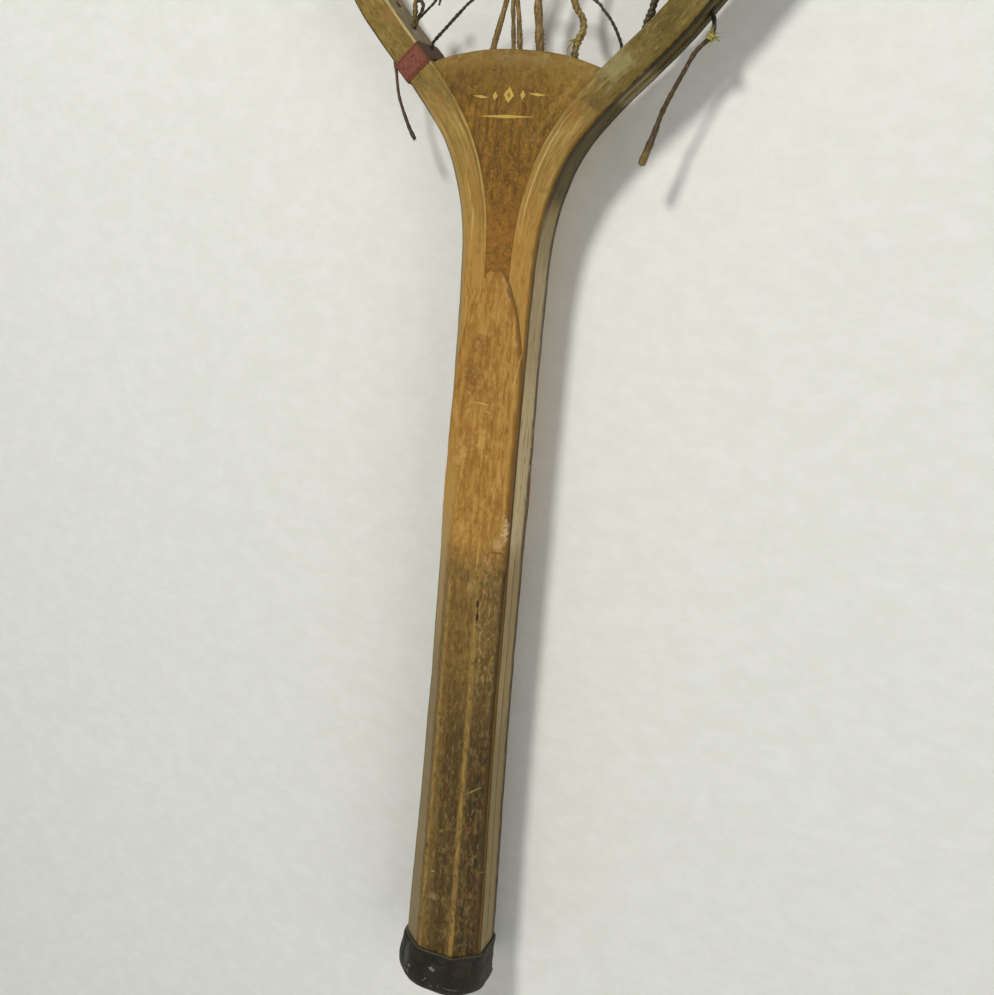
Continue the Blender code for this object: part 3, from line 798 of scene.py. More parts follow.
@dataclass(frozen=True)
class OldWood:
    """Old oiled wood: streaks along the grain, stain, painted light and shade, specks, wear and single marks.

    Shaved and oiled by hand and then handled for years: the oil has dried matt and its shine is low, the
    streaks follow the grain, and sweat and dust have darkened it in patches.
    """

    name: str
    dark: str
    middle: str
    light: str
    streak: tuple[float, float, float]
    contrast: float
    layers: tuple[Layer, ...]
    roughness: tuple[float, float]
    relief_depth: float
    marks: tuple[Mark, ...] = ()

    def build(self) -> bpy.types.Material:
        """Builds the material."""
        palette = Palette(self.name)
        streaks = palette.lumps(palette.grain, self.streak, 6.0, 0.62)
        ramp = palette.add("ValToRGB", {0: streaks})
        stops = ramp.color_ramp.elements
        stops[0].position, stops[0].color = 0.5 - self.contrast, srgb(self.dark)
        stops[1].position, stops[1].color = 0.5 + self.contrast, srgb(self.light)
        stops.new(0.5).color = srgb(self.middle)
        palette.colour = ramp.outputs[0]
        heights = [(streaks, self.relief_depth)]
        for layer in self.layers:
            mask = palette.lay_layer(layer)
            if layer.relief:
                heights.append((mask, layer.relief))
        for mark in self.marks:
            palette.lay_mark(mark)
        gloss = palette.lumps(palette.space, (7.0, 7.0, 16.0), 4.0, 0.6)
        low, high = self.roughness
        roughness = palette.add("MapRange", {0: gloss, 1: 0.3, 2: 0.7, 3: low, 4: high}).outputs[0]
        return palette.finish(roughness, palette.relief(*heights), 0.25)


@dataclass(frozen=True)
class TwistedGut:
    """Dried gut string: twisted fibres that show as slanted lines, brown or nearly black.

    Spun wet and dried hard, so it has a dull horn-like shine and darkens in blotches where damp got in.
    """

    name: str
    dark: str
    light: str
    tip: str
    layers: tuple[Layer, ...] = ()
    roughness: float = 0.5

    def build(self) -> bpy.types.Material:
        """Builds the material."""
        palette = Palette(self.name)
        along = palette.lumps(palette.space, (0.5, 0.5, 2.5), 3.0)
        broad = palette.lumps(palette.space, (4.0, 4.0, 12.0), 3.0)
        palette.colour = srgb(self.dark)
        palette.lay(self.light, 0.9, (along, 0.4, 0.62))
        palette.lay(self.tip, 0.55, (broad, 0.5, 0.65))
        for layer in self.layers:
            palette.lay_layer(layer)
        return palette.finish(self.roughness, palette.relief((along, 0.08)), 0.35)


@dataclass(frozen=True)
class WovenTape:
    """Cotton tape dyed dull crimson: a plain weave of fine threads, dusty and darker along its edges."""

    thread: float = 0.4
    dark: str = "#592b22"
    light: str = "#7d4b3c"
    dust: str = "#7d4c36"
    edge: str = "#5a1d1c"
    # Painted shade: colour of the tape's inner side, facing into the hoop.
    inner: str = "#41331e"

    def build(self) -> bpy.types.Material:
        """Builds the material; threads are drawn somewhat coarser than real ones, so that they show."""
        palette = Palette("woven_tape")
        palette.colour = srgb(self.dark)
        scale = (1 / (self.thread * MM),) * 3
        placed = palette.add("VectorMath", {0: palette.strip, 1: scale}, operation="MULTIPLY")
        weave = palette.add("TexChecker", {"Vector": placed.outputs[0], "Scale": 1.0})
        broad = palette.lumps(palette.space, (3.0, 3.0, 3.0), 3.0)
        threads = palette.lumps(palette.grain, (0.5, 0.5, 1.4), 2.0)
        palette.lay(self.light, 0.8, (threads, 0.25, 0.6))
        palette.lay(self.dust, 0.45, (broad, 0.50, 0.7))
        rim = palette.places[Axis.RIM]
        palette.lay(self.edge, 0.7, (rim, 0.0010, 0.0004))
        palette.lay(self.dust, 0.7, (rim, 0.0004, 0.0001))
        # Painted shade on the tape's inner side.
        palette.lay(self.inner, 0.88, (palette.places[Axis.OFFSET], -0.0114, -0.0124))
        return palette.finish(0.85, palette.relief((weave.outputs[1], 0.04), (threads, 0.08)), 0.3)


@dataclass(frozen=True)
class ScuffedLeather:
    """Black-brown butt leather: pebbled grain, rubbed to grey brown on its high places and scratched.

    Tanned, dyed and stretched on damp: it dried in soft lumps, and its dye has worn off its high places.
    """

    marks: tuple[Mark, ...] = ()

    def build(self) -> bpy.types.Material:
        """Builds the material."""
        palette = Palette("scuffed_leather")
        pebbles = palette.lumps(palette.space, (0.9, 0.9, 0.9), 3.0, 0.6)
        broad = palette.lumps(palette.space, (6.0, 6.0, 5.0), 4.0, 0.6)
        scratches = palette.lumps(palette.space, (0.35, 0.35, 5.0), 2.0, 0.5)
        palette.colour = srgb("#120f07")
        rim = palette.places[Axis.RIM]
        palette.lay("#2a2412", 0.85, (broad, 0.42, 0.66))
        palette.lay("#3b321c", 0.45, (pebbles, 0.56, 0.72))
        palette.lay("#625a40", 0.40, (scratches, 0.66, 0.72))
        # Painted shade just under the top edge, and a top edge that is partly rubbed and partly a painted
        # highlight.
        palette.lay("#0d0b08", 0.6, (rim, 0.0022, 0.0010))
        palette.lay("#464330", 0.7, (rim, 0.0007, 0.0002))
        palette.lay("#17140b", 0.5, (palette.lumps(palette.space, (2.5, 2.5, 2.5), 3.0), 0.5, 0.62))
        for mark in self.marks:
            palette.lay_mark(mark)
        roughness = palette.add("MapRange", {0: broad, 1: 0.3, 2: 0.7, 3: 0.45, 4: 0.65}).outputs[0]
        return palette.finish(roughness, palette.relief((pebbles, 0.16), (broad, 0.3)), 0.25)


# Near white: the world behind the racket, and what the floor fades into far from it.
BACKDROP = "#eef0f2"


@dataclass(frozen=True)
class LimewashedPlaster:
    """White limewash brushed over rough plaster: chalky and matt, with soft trowel marks and no shine."""

    name: str = "limewashed_plaster"
    colour: str = "#d2d3ce"
    relief_depth: float = 0.3
    fade: tuple[float, float] = (0.55, 1.5)

    def build(self, one_sided: bool) -> bpy.types.Material:
        """Builds the material.

        Args:
            one_sided: Whether the back of the surface is clear, so that the racket shows from behind.
                Otherwise the surface fades into the backdrop far from the racket.

        Returns:
            The material.
        """
        palette = Palette(self.name)
        trowel = palette.lumps(palette.space, (9.0, 9.0, 6.0), 6.0, 0.62)
        palette.colour = srgb(self.colour)
        palette.lay("#dadbd7", 0.6, (trowel, 0.35, 0.7))
        material = palette.finish(0.9, palette.relief((trowel, self.relief_depth)))
        if one_sided:
            share = palette.add("NewGeometry").outputs["Backfacing"]
            other = palette.add("BsdfTransparent")
        else:
            reach = palette.add("VectorMath", {0: palette.space}, operation="LENGTH").outputs[1]
            seen = palette.add("LightPath").outputs["Is Camera Ray"]
            near, far = self.fade
            faded = palette.add("MapRange", {0: reach, 1: near, 2: far}, interpolation_type=SMOOTH)
            both = palette.add("Math", {0: faded.outputs[0], 1: seen}, operation="MULTIPLY")
            share = both.outputs[0]
            other = palette.add("Emission", {"Color": srgb(BACKDROP)})
        mixed = palette.add("MixShader", {0: share, 1: palette.shader.outputs[0], 2: other.outputs[0]})
        output = next(node for node in palette.tree.nodes if node.type == "OUTPUT_MATERIAL")
        palette.tree.links.new(mixed.outputs[0], output.inputs[0])
        return material


# Windows that several layers share, each along the axis that its layer names.
OUTER_FACE = (-1, -0.4)
HOOP = (372, 388)
LEFT_HALF = (0, -1)
RIGHT_HALF = (0, 1)
ASH = OldWood(
    name="oiled_ash", dark="#6e5521", middle="#8b6f32", light="#a18549", streak=(0.9, 0.9, 30),
    contrast=0.2,
    layers=(
        Layer("#9f7837", 0.75, 7, (5, 5, 25), height=(362, 328)),
        Layer("#796630", 0.85, 4, height=HOOP),
        Layer("#5a4d18", 0.75, 4, height=(372, 384), across=(28, 36)),
        Layer("#524210", 0.5, 4, height=HOOP, specks=(3.2, 3.2, 7), cover=(0.44, 0.62)),
        Layer("#7a521b", 0.4, 4, height=HOOP, specks=(3, 3, 9), cover=(0.52, 0.66)),
        Layer("#3c2e09", 0.55, 4, height=HOOP, specks=(1.3, 1.3, 3.4), cover=(0.53, 0.67), relief=-0.05),
        Layer("#937f46", 0.4, 4, height=HOOP, specks=(2.2, 2.2, 6), cover=(0.54, 0.68)),
        Layer("#664512", 0.5, specks=(0.7, 0.7, 5), cover=(0.52, 0.66), relief=-0.04),
        Layer("#b49a5c", 0.35, specks=(0.9, 0.9, 9), cover=(0.57, 0.7)),
        Layer("#915d1b", 0.4, 6, height=(395, 380, 318, 300), specks=(3, 3, 12), cover=(0.52, 0.66)),
        # Painted shade: the hoop's inner face, above the crown, is greyed and darkened; the dark specks on it
        # are grime.
        Layer("#766a4c", 0.85, 0.3, edge=(0.8, 0.1), height=(392, 397)),
        Layer("#4a4022", 0.5, 0.3, edge=(0.5, 0.1), height=(392, 397), specks=(2.6, 2.6, 4),
              cover=(0.48, 0.62)),
        # Partly wear and partly a painted highlight: a pale line along the left arm's inner front edge, up
        # the hoop.
        Layer("#b3a36f", 0.7, 0.2, (1.5, 1.5, 5), edge=(0.1, 0.4, 1, 1.6), height=(393, 398),
              depth=(-6.6, -7.6), across=LEFT_HALF),
        Layer("#a28f57", 0.5, 0.3, (1.5, 1.5, 4), edge=(0.9, 0.3), height=(330, 345, 375, 386),
              across=LEFT_HALF),
        Layer("#684f1e", 0.55, 0.3, (1.5, 1.5, 6), edge=(2, 1.5, 1.2, 0.8), height=(330, 345),
              across=LEFT_HALF),
        Layer("#b49f68", 0.6, 0.4, (1.5, 1.5, 5), edge=(1.9, 2.2, 2.4, 2.8), height=(338, 346, 370, 382),
              across=RIGHT_HALF),
        # Darker outer face near the throat and up the hoop: part stain, part painted shade.
        Layer("#43390e", 0.9, 0.5, offset=OUTER_FACE, height=(336, 352)),
        Layer("#261d06", 0.6, 0.3, offset=OUTER_FACE, height=(344, 352), specks=(1.6, 1.6, 9),
              cover=(0.46, 0.6)),
        Layer("#857852", 0.75, 0.7, offset=OUTER_FACE, height=(383, 386, 394, 398)),
        # Painted light on a greyed, worn face: the outer face is painted lighter down the legs to stand for
        # light bounced off the wall, and darker again lower down on the grip.
        Layer("#86784f", 0.9, 0.3, offset=OUTER_FACE, height=(350, 337)),
        Layer("#a49268", 0.85, 0.3, offset=OUTER_FACE, height=(334, 316)),
        Layer("#beaa7f", 0.8, 0.3, offset=OUTER_FACE, height=(292, 262, 214, 205)),
        Layer("#8c7a4e", 0.8, 0.3, offset=OUTER_FACE, height=(206, 198)),
        Layer("#746540", 0.7, 0.3, offset=OUTER_FACE, height=(142, 118)),
        Layer("#7d6b45", 0.45, 0.3, offset=OUTER_FACE, height=(350, 330), specks=(1.1, 1.1, 34),
              cover=(0.48, 0.62)),
        Layer("#685b38", 0.5, 0.3, offset=OUTER_FACE, height=(350, 330), specks=(2.6, 2.6, 9),
              cover=(0.53, 0.66), relief=-0.06),
        Layer("#866c46", 0.4, 0.4, (1.5, 1.5, 14), offset=OUTER_FACE, depth=(-1.4, -0.6, 2.2, 3.2),
              height=(222, 202)),
        Layer("#423413", 0.75, 0.4, (1.5, 1.5, 14), offset=OUTER_FACE, depth=(-2.2, -1.8, -1.4, -0.9),
              height=(222, 202)),
        # Painted shade, with some grime: a dark ragged band along the back of the outer face, next to the
        # wall.
        Layer("#271c08", 0.88, 1.3, (1.6, 1.6, 7), offset=OUTER_FACE, depth=(3.6, 6.4)),
        # Painted shade: dark lines along the front edge of the outer face, up the hoop and down the legs.
        Layer("#1e1104", 0.7, 0.6, (1.5, 1.5, 12), offset=OUTER_FACE, depth=(-4.2, -5.8), height=(330, 350)),
        Layer("#312206", 0.85, 0.25, (1.2, 1.2, 10), offset=OUTER_FACE, depth=(-7, -7.9), height=(345, 330)),
        # Painted shade: a dark line along the right leg's front outer edge, below the hoop.
        Layer("#5a400b", 0.8, 0.3, (1.2, 1.2, 10), offset=(-2, -1.2, -0.35, 0), depth=(-5.8, -6.9),
              height=(392, 372), across=RIGHT_HALF),
        # Painted sheen on a greyed face: the left leg's outer edge, seen at a grazing angle, is painted grey.
        Layer("#8b784d", 0.6, 0.4, (1.5, 1.5, 9), offset=(-2.2, -1.2), height=(392, 372), across=LEFT_HALF),
    ),
    roughness=(0.55, 0.72), relief_depth=0.12,
    marks=(
        Mark((39.6, -8.3, 396.4), (5.2, 3, 9), "#979064", 0.45, 0.35, 0.7, 42, 2.5, Spread.SLAB),
        Mark((33, -8.3, 384), (5, 3, 3.6), "#49380c", 0.55, 0.9, 0.8, 30, 2),
        Mark((57, -8.3, 412), (5, 3, 9), "#47360c", 0.5, 0.8, 0.7, 40, 2.2),
        Mark((-29.5, -8.3, 371), (2, 3, 9), "#99783b", 0.5, 0.5, 0.7, -28),
        Mark((-53, -8.3, 411), (2.4, 3, 8), "#7d5721", 0.5, 0.7, 0.7, -35),
        Mark((-46, -8.3, 403), (3, 3, 3.5), "#68591e", 0.5, 0.8, 0.7, -35),
        Mark((-12, -8.3, 338), (0.5, 3, 10), "#b29f6e", 0.5, 0.4, 0.6),
        Mark((17.6, -8.3, 352), (3.4, 3, 1.6), "#684f1b", 0.45, 0.5, 0.6),
    ),
)
WEDGE_WOOD = OldWood(
    name="oiled_mahogany", dark="#533608", middle="#6c4c0e", light="#835e1b", streak=(1.8, 1.8, 7),
    contrast=0.17,
    layers=(
        Layer("#6f541a", 0.6, 3, height=(379, 389)),
        Layer("#82631e", 0.6, 3, across=(9, 21), height=(372, 382)),
        Layer("#835b1b", 0.75, 5, height=(355, 336)),
        Layer("#4e3408", 0.5, specks=(2.6, 2.6, 3.4), cover=(0.46, 0.64)),
        Layer("#946c23", 0.45, specks=(1.1, 1.1, 1.3), cover=(0.53, 0.67)),
        Layer("#3e2405", 0.5, specks=(0.8, 0.8, 1), cover=(0.55, 0.68), relief=-0.05),
        Layer("#a2621b", 0.45, 4, height=(368, 348), specks=(1.2, 1.2, 0.9), cover=(0.54, 0.66)),
        Layer("#80420f", 0.35, 4, height=(372, 352), specks=(2, 2, 1.6), cover=(0.56, 0.66)),
        # Partly wear and partly a painted highlight: a lighter band along the crown's rolled edge, where it
        # turns to the light.
        Layer("#775e24", 0.65, 1.9, (2.4, 2.4, 2.4), depth=(-5.5, -7.9), edge=(5.8, 2.6)),
        Layer("#89743c", 0.5, 0.8, edge=(3.6, 0.6), specks=(2.2, 2.2, 1.8), cover=(0.46, 0.62)),
        Layer("#61430d", 0.45, 0.8, edge=(5.2, 1.2), specks=(1.5, 1.5, 1.3), cover=(0.52, 0.64)),
    ),
    roughness=(0.55, 0.72), relief_depth=0.08,
    marks=(
        Mark((-24.6, -8.3, 385), (5.5, 3, 5.5), "#463009", 0.5, 0.6, 0.7),
        Mark((-30, -8.3, 389.5), (2.2, 3, 6.5), "#51390b", 0.6, 0.6, 0.7, -35),
        Mark((-21, -8.3, 391), (4, 3, 2), "#48330c", 0.4, 0.6, 0.7),
        Mark((26.5, -8.3, 385.5), (2.6, 3, 4), "#563d0c", 0.5, 0.7, 0.7, 30),
        Mark((0.5, -8.3, 324.5), (3.4, 3, 3), "#784a1e", 0.5, 0.5, 0.7),
        Mark((20.5, -8.3, 385.5), (1.5, 3, 12), "#93773a", 0.4, 0.9, 0.9, 42, 1.8),
        Mark((17, -8.3, 384.5), (0.6, 3, 10), "#583f0e", 0.45, 0.5, 0.7, 42, 1.5),
        Mark((13.5, -8.3, 375), (1.3, 3, 9), "#93773a", 0.35, 0.9, 0.9, 36, 1.8),
        Mark((-1, -8.3, 385), (2.4, 3, 3.4), "#bea14c", 0.85, 0.16, 0.3, 4, 0.7, Spread.LOZENGE),
        Mark((-1, -8.3, 385), (1.1, 3, 1.6), "#6b4d10", 0.75, 0.2, 0.4, 4, 0.7, Spread.LOZENGE),
        Mark((-6.6, -8.3, 384.5), (1.3, 3, 2), "#b99b49", 0.8, 0.16, 0.3, 4, 0.7, Spread.LOZENGE),
        Mark((4.6, -8.3, 385.3), (1.3, 3, 2), "#b99b49", 0.8, 0.16, 0.3, 4, 0.7, Spread.LOZENGE),
        Mark((-12.4, -8.3, 384), (4, 3, 0.7), "#b99b49", 0.8, 0.14, 0.3, 4, 0.7, Spread.LOZENGE),
        Mark((10.4, -8.3, 385.7), (4, 3, 0.7), "#b99b49", 0.8, 0.14, 0.3, 4, 0.7, Spread.LOZENGE),
        Mark((-1.5, -8.3, 377.4), (14, 3, 0.75), "#b99b49", 0.8, 0.12, 0.3, -2, 0.8, Spread.LOZENGE),
    ),
)
GRIP = (214, 198)
FLAT = (-9.4, -8.2)
HANDLE_WOOD = OldWood(
    name="hand_worn_hardwood", dark="#7b551b", middle="#956d2d", light="#aa8240", streak=(1.4, 1.4, 15),
    contrast=0.19,
    layers=(
        Layer("#7d5218", 0.6, specks=(3.4, 3.4, 6), cover=(0.46, 0.66)),
        Layer("#b28c4e", 0.5, specks=(2.6, 2.6, 5), cover=(0.52, 0.68)),
        Layer("#6c470c", 0.5, specks=(1, 1, 2.6), cover=(0.54, 0.7), relief=-0.05),
        Layer("#bc9b60", 0.35, specks=(0.9, 0.9, 3), cover=(0.57, 0.72)),
        Layer("#a78446", 0.55, 2, height=(262, 238), across=(-6, -10)),
        Layer("#b7985a", 0.45, 2.5, height=(196, 206, 224, 236), across=(-9, -6.5, 0, 2.5),
              specks=(1.1, 1.1, 1.9), cover=(0.52, 0.66)),
        Layer("#72582a", 0.8, 5, (4, 4, 6), height=(216, 190)),
        Layer("#5c471c", 0.55, 1.4, (2, 2, 7), height=(212, 196), across=(9.4, 11.4)),
        Layer("#604b1e", 0.7, 5, (4, 4, 6), height=(176, 144)),
        Layer("#382a09", 0.88, 1.4, (2, 2, 7), height=(158, 118), across=(-4.6, -2.8)),
        Layer("#6b5728", 0.65, 1.4, (2, 2, 7), height=(150, 118), across=(-8.6, -7.6, -5.2, -3)),
        Layer("#2d2107", 0.85, 1.4, (2, 2, 7), height=(152, 110), across=(8.6, 11.2)),
        Layer("#89713e", 0.53, 3, height=GRIP, specks=(2.2, 2.2, 4.2), cover=(0.5, 0.64)),
        Layer("#3c2a09", 0.5, 3, height=GRIP, specks=(1.9, 1.9, 4.8), cover=(0.45, 0.64), relief=-0.05),
        Layer("#58511e", 0.4, 3, height=GRIP, specks=(2.6, 2.6, 5), cover=(0.5, 0.62)),
        Layer("#b29b67", 0.5, 2, height=(214, 206, 156, 140), across=(5, 7.5), specks=(1.1, 1.1, 2),
              cover=(0.5, 0.66), relief=0.04),
        Layer("#5a3d18", 0.45, 3, height=GRIP, specks=(3, 3, 6), cover=(0.5, 0.66)),
        Layer("#2a1c06", 0.55, 3, height=GRIP, specks=(1.4, 1.4, 4.6), cover=(0.5, 0.7), relief=-0.06),
        Layer("#957f4c", 0.28, 3, height=GRIP, specks=(1.1, 1.1, 3.2), cover=(0.54, 0.7)),
        Layer("#66502a", 0.34, 3, height=GRIP, specks=(1.3, 1.3, 24), cover=(0.46, 0.64)),
        Layer("#834d23", 0.4, 3, height=GRIP, specks=(1.8, 1.8, 4), cover=(0.57, 0.7)),
        Layer("#806734", 0.7, 1.1, (1.6, 1.6, 7), rim=(1.5, 0.1), height=(208, 188), across=FLAT),
        Layer("#96773a", 0.7, 0.8, rim=(0.8, 0), height=(208, 188), specks=(1.4, 1.4, 6),
              cover=(0.42, 0.58)),
        Layer("#8f6434", 0.25, 0.6, rim=(0.9, 0), height=(208, 188), specks=(1.2, 1.2, 4),
              cover=(0.54, 0.64)),
        Layer("#382908", 0.65, 0.8, rim=(2, 0.2), height=GRIP, specks=(1.3, 1.3, 3.4), cover=(0.54, 0.65)),
        # Painted sheen on a greyed face: the left facet, seen at a grazing angle, is painted grey-taupe.
        Layer("#9c8659", 0.8, 0.8, (2, 2, 10), across=(-9.4, -12.4), depth=(0, -1), height=(238, 205)),
        Layer("#77694b", 0.8, 0.8, (2, 2, 10), across=(-9.4, -12.4), depth=(0, -1), height=(185, 145)),
        # Painted shade: the slab's right side wall and edge, facing away from the light, painted dark.
        Layer("#5c3f0d", 0.85, 0.25, (1.5, 1.5, 9), edge=(1.9, 0.5), height=(200, 206), across=RIGHT_HALF),
        Layer("#3a2a0c", 0.8, 0.3, (1.5, 1.5, 9), edge=(1.6, 0.4), height=(206, 198), across=RIGHT_HALF),
        Layer("#a98543", 0.45, 0.35, (1.5, 1.5, 9), edge=(1.8, 2.3, 2.7, 3.4), height=(206, 212, 285, 300),
              across=RIGHT_HALF),
    ),
    roughness=(0.52, 0.7), relief_depth=0.1,
    marks=(
        Mark((-0.6, -9.1, 320.7), (3.6, 2, 1), "#6b3a14", 0.65, 0.35, 0.6),
        Mark((4.2, -12, 207), (0.8, 6, 22), "#af8844", 0.75, 0.45, 0.8, 0, 2),
        Mark((6, -15.3, 186.4), (0.6, 3, 2.4), "#090603", 0.9, 0.3, 0.4, 0, 1.2),
        Mark((6.1, -15.3, 183.4), (0.42, 3, 3.4), "#231808", 0.8, 0.3, 0.5, 0, 1.2),
        Mark((6.2, -15.3, 180.4), (0.8, 3, 2.6), "#090603", 0.9, 0.4, 0.4, 0, 1.2),
        Mark((13.6, -12.5, 218), (1.7, 6, 9), "#bea676", 0.75, 0.8, 0.7, 0, 1.5),
        Mark((11.4, -12.5, 212.6), (2.4, 6, 3.6), "#b29768", 0.6, 0.8, 0.7, 0, 1.5),
        Mark((12, -13, 208.8), (3.4, 5, 0.55), "#4c360d", 0.75, 0.35, 0.5, 0, 1.5),
        Mark((2.6, -14, 193.5), (2.6, 6, 4.6), "#ac8e55", 0.5, 0.7, 0.9, 0, 1.8),
        Mark((0.3, -12.5, 254.3), (2.2, 5, 6.5), "#b7934c", 0.55, 0.9, 0.6, 0, 1.8),
        Mark((-7, -12.5, 247), (2.6, 5, 6), "#ba9555", 0.5, 0.9, 0.7, 0, 1.6),
        Mark((-1.4, -11.5, 268.6), (4.6, 4, 0.45), "#c8a368", 0.65, 0.5, 0.5, 3, 1),
        Mark((1.6, -11.5, 265.6), (2.2, 4, 0.35), "#c8a368", 0.4, 0.6, 0.5, 14, 1),
        Mark((-6.4, -11.5, 265.2), (0.4, 4, 1.8), "#c8a368", 0.38, 0.6, 0.5, 24, 1),
        Mark((-6.9, -11, 279), (4, 4, 9), "#68451b", 0.65, 0.9, 0.7, 0, 1.6),
        Mark((-4, -11, 292), (3.6, 4, 5), "#68451b", 0.55, 0.9, 0.7, 0, 1.6),
        Mark((-5.5, -12, 257.5), (1.6, 4, 1.4), "#a34f21", 0.45, 0.8, 0.6, 0, 1.2),
        Mark((12.4, -10.5, 284), (0.35, 4, 13), "#c1a266", 0.5, 0.35, 0.6, 8, 1.5),
        Mark((6, -9.4, 312.5), (0.6, 3, 3.6), "#483c2b", 0.7, 0.3, 0.6, -28),
        Mark((11.4, -14.5, 101.6), (5.4, 6, 0.45), "#9f885c", 0.75, 0.35, 0.5, -30, 1.5),
        Mark((9.8, -15, 83), (1.2, 5, 1), "#7b401b", 0.6, 0.8, 0.5, 0, 1),
        Mark((6.6, -15.6, 78), (0.7, 5, 2.2), "#6c3b0e", 0.6, 0.5, 0.5, 20, 1),
        Mark((-8, -15.6, 70), (0.8, 5, 1.6), "#251506", 0.7, 0.6, 0.5, 0, 1),
        Mark((16.6, -13, 61.1), (1.6, 6, 0.6), "#a79977", 0.7, 0.4, 0.5, -10, 1),
        Mark((-4.2, -16.2, 58.6), (1.2, 4, 0.5), "#a79977", 0.6, 0.4, 0.5, -15, 1),
        Mark((-3, -16.2, 46), (2.6, 4, 2), "#8b7e57", 0.45, 1, 0.5, 0, 1),
    ),
)
BUTT_LEATHER = ScuffedLeather((
    # Painted sheen: grey-green on the band's left facet.
    Mark((-14.6, -15.2, 12), (2.6, 4, 7), "#4c5348", 0.55, 0.7, 0.6, 0, 2),
    Mark((2, -20, 15.6), (5.4, 3, 1.3), "#0c0a07", 0.8, 0.35, 0.5, 12, 1.5),
    Mark((0.6, -20.2, 12.2), (1.9, 3, 1.1), "#8c8a7c", 0.75, 0.45, 0.5, 15, 1),
    Mark((-11.5, -17.3, 8.4), (1.3, 3, 1), "#7d7663", 0.65, 0.9, 0.5, 0, 0.8),
    Mark((-12.4, -17, 5.4), (1, 3, 1.6), "#6d6754", 0.55, 0.9, 0.5, 0, 0.8),
    Mark((-2.4, -20.1, 6.2), (0.3, 3, 2.3), "#9a9484", 0.42, 0.6, 0.5, 34, 1),
    Mark((0.9, -20.1, 3.9), (0.3, 3, 1.5), "#9a9484", 0.34, 0.6, 0.5, 52, 1),
    Mark((4.6, -20.1, 5.4), (0.25, 3, 0.9), "#8a8474", 0.38, 0.6, 0.5, 21, 1),
    Mark((9.5, -18.4, 4.6), (5, 3, 0.5), "#5f5a48", 0.6, 0.8, 0.5, 8, 1),
    Mark((22, -2.5, 12.4), (3, 2.4, 2), "#0b0a08", 0.75, 0.5, 0.5, 0, 1.5),
    Mark((21.3, -5.8, 19.4), (3, 5, 2.2), "#0d0b08", 0.8, 0.4, 0.5, 0, 1.5),
    Mark((3, -20.2, 9), (9, 3, 5), "#23201a", 0.5, 0.8, 0.7, 0, 2.5),
))


@dataclass
class BentStrip:
    """Ash strip bent into the hoop, with its two legs running down the sides of the handle."""

    outline: Outline
    inner_radius: float = 1.4
    throat_radius: float = 0.3
    outer_radius: float = 2.1
    leg_radius: float = 0.7
    groove_depth: float = 1.2
    groove_half_width: float = 2.0
    groove_bottom: float = 1.5
    groove_start: float = -24.0
    groove_fade: float = 10.0
    step: float = 0.0025

    def section(self, run: float) -> tuple[list[Vector], list[float]]:
        """Section of the strip.

        Args:
            run: Distance along the strip from the top of the head.

        Returns:
            Points as offsets from the outer face and depths, and their distances from the nearest worn edge.
        """
        sizes = self.outline.sizes
        height = self.outline.at(run)[0].y
        over = (height - sizes.crown_height) / MM
        hoop = min(max((over - self.groove_start) / self.groove_fade, 0.0), 1.0)
        free = ease(-8.0, 1.0, over)
        width, half = self.outline.width(run), sizes.half_depth
        inner = (self.throat_radius + (self.inner_radius - self.throat_radius) * free) * MM
        outer = (self.leg_radius + (self.outer_radius - self.leg_radius) * hoop) * MM
        groove = (self.groove_depth * hoop + 0.02) * MM
        lip, bottom = self.groove_half_width * MM, self.groove_bottom * MM
        bare = free > 0.5
        covered = height < 0.25
        return rounded_section((
            Corner(-width, -half, inner, 8, bare), Corner(0.0, -half, outer, 3, not covered),
            Corner(0.0, -lip, 0.25 * MM, 1, hoop > 0.5), Corner(-groove, -bottom, 0.2 * MM, 3, False),
            Corner(-groove, bottom, 0.2 * MM, 1, False), Corner(0.0, lip, 0.25 * MM, 3, hoop > 0.5),
            Corner(0.0, half, outer, 8), Corner(-width, half, inner, 6, bare),
        ))

    def build(self) -> bpy.types.Object:
        """Makes the strip, bored for its strings."""
        outline = self.outline
        skin = Skin("bent_strip")
        count = round(2 * outline.runs[-1] / self.step)
        for index in range(count + 1):
            run = (2 * index / count - 1) * outline.runs[-1]
            points, rims = self.section(run)
            ring = [outline.place(run, point.x, point.y) for point in points]
            if index in (0, count):
                for point in ring:
                    point.z = 0.0
            width = outline.width(run)
            skin.add(ring, [(point.x, run) for point in points], rims, [point.x + width for point in points])
        strip = skin.build()
        weather(strip, 0.012, 0.16 * MM, 3.1, lambda spot: ease(0.0, 0.012, spot.z))
        bars = []
        for side in Side:
            for index in range(outline.sizes.holes_per_side):
                run = outline.hole_run(index, side)
                inside = outline.place(run, -outline.width(run) - 0.003)
                bars.append((inside, outline.place(run, 0.003), outline.sizes.hole_radius))
        cut_bars(strip, bars)
        return dress(strip, ASH.build(), "ash", "bow")


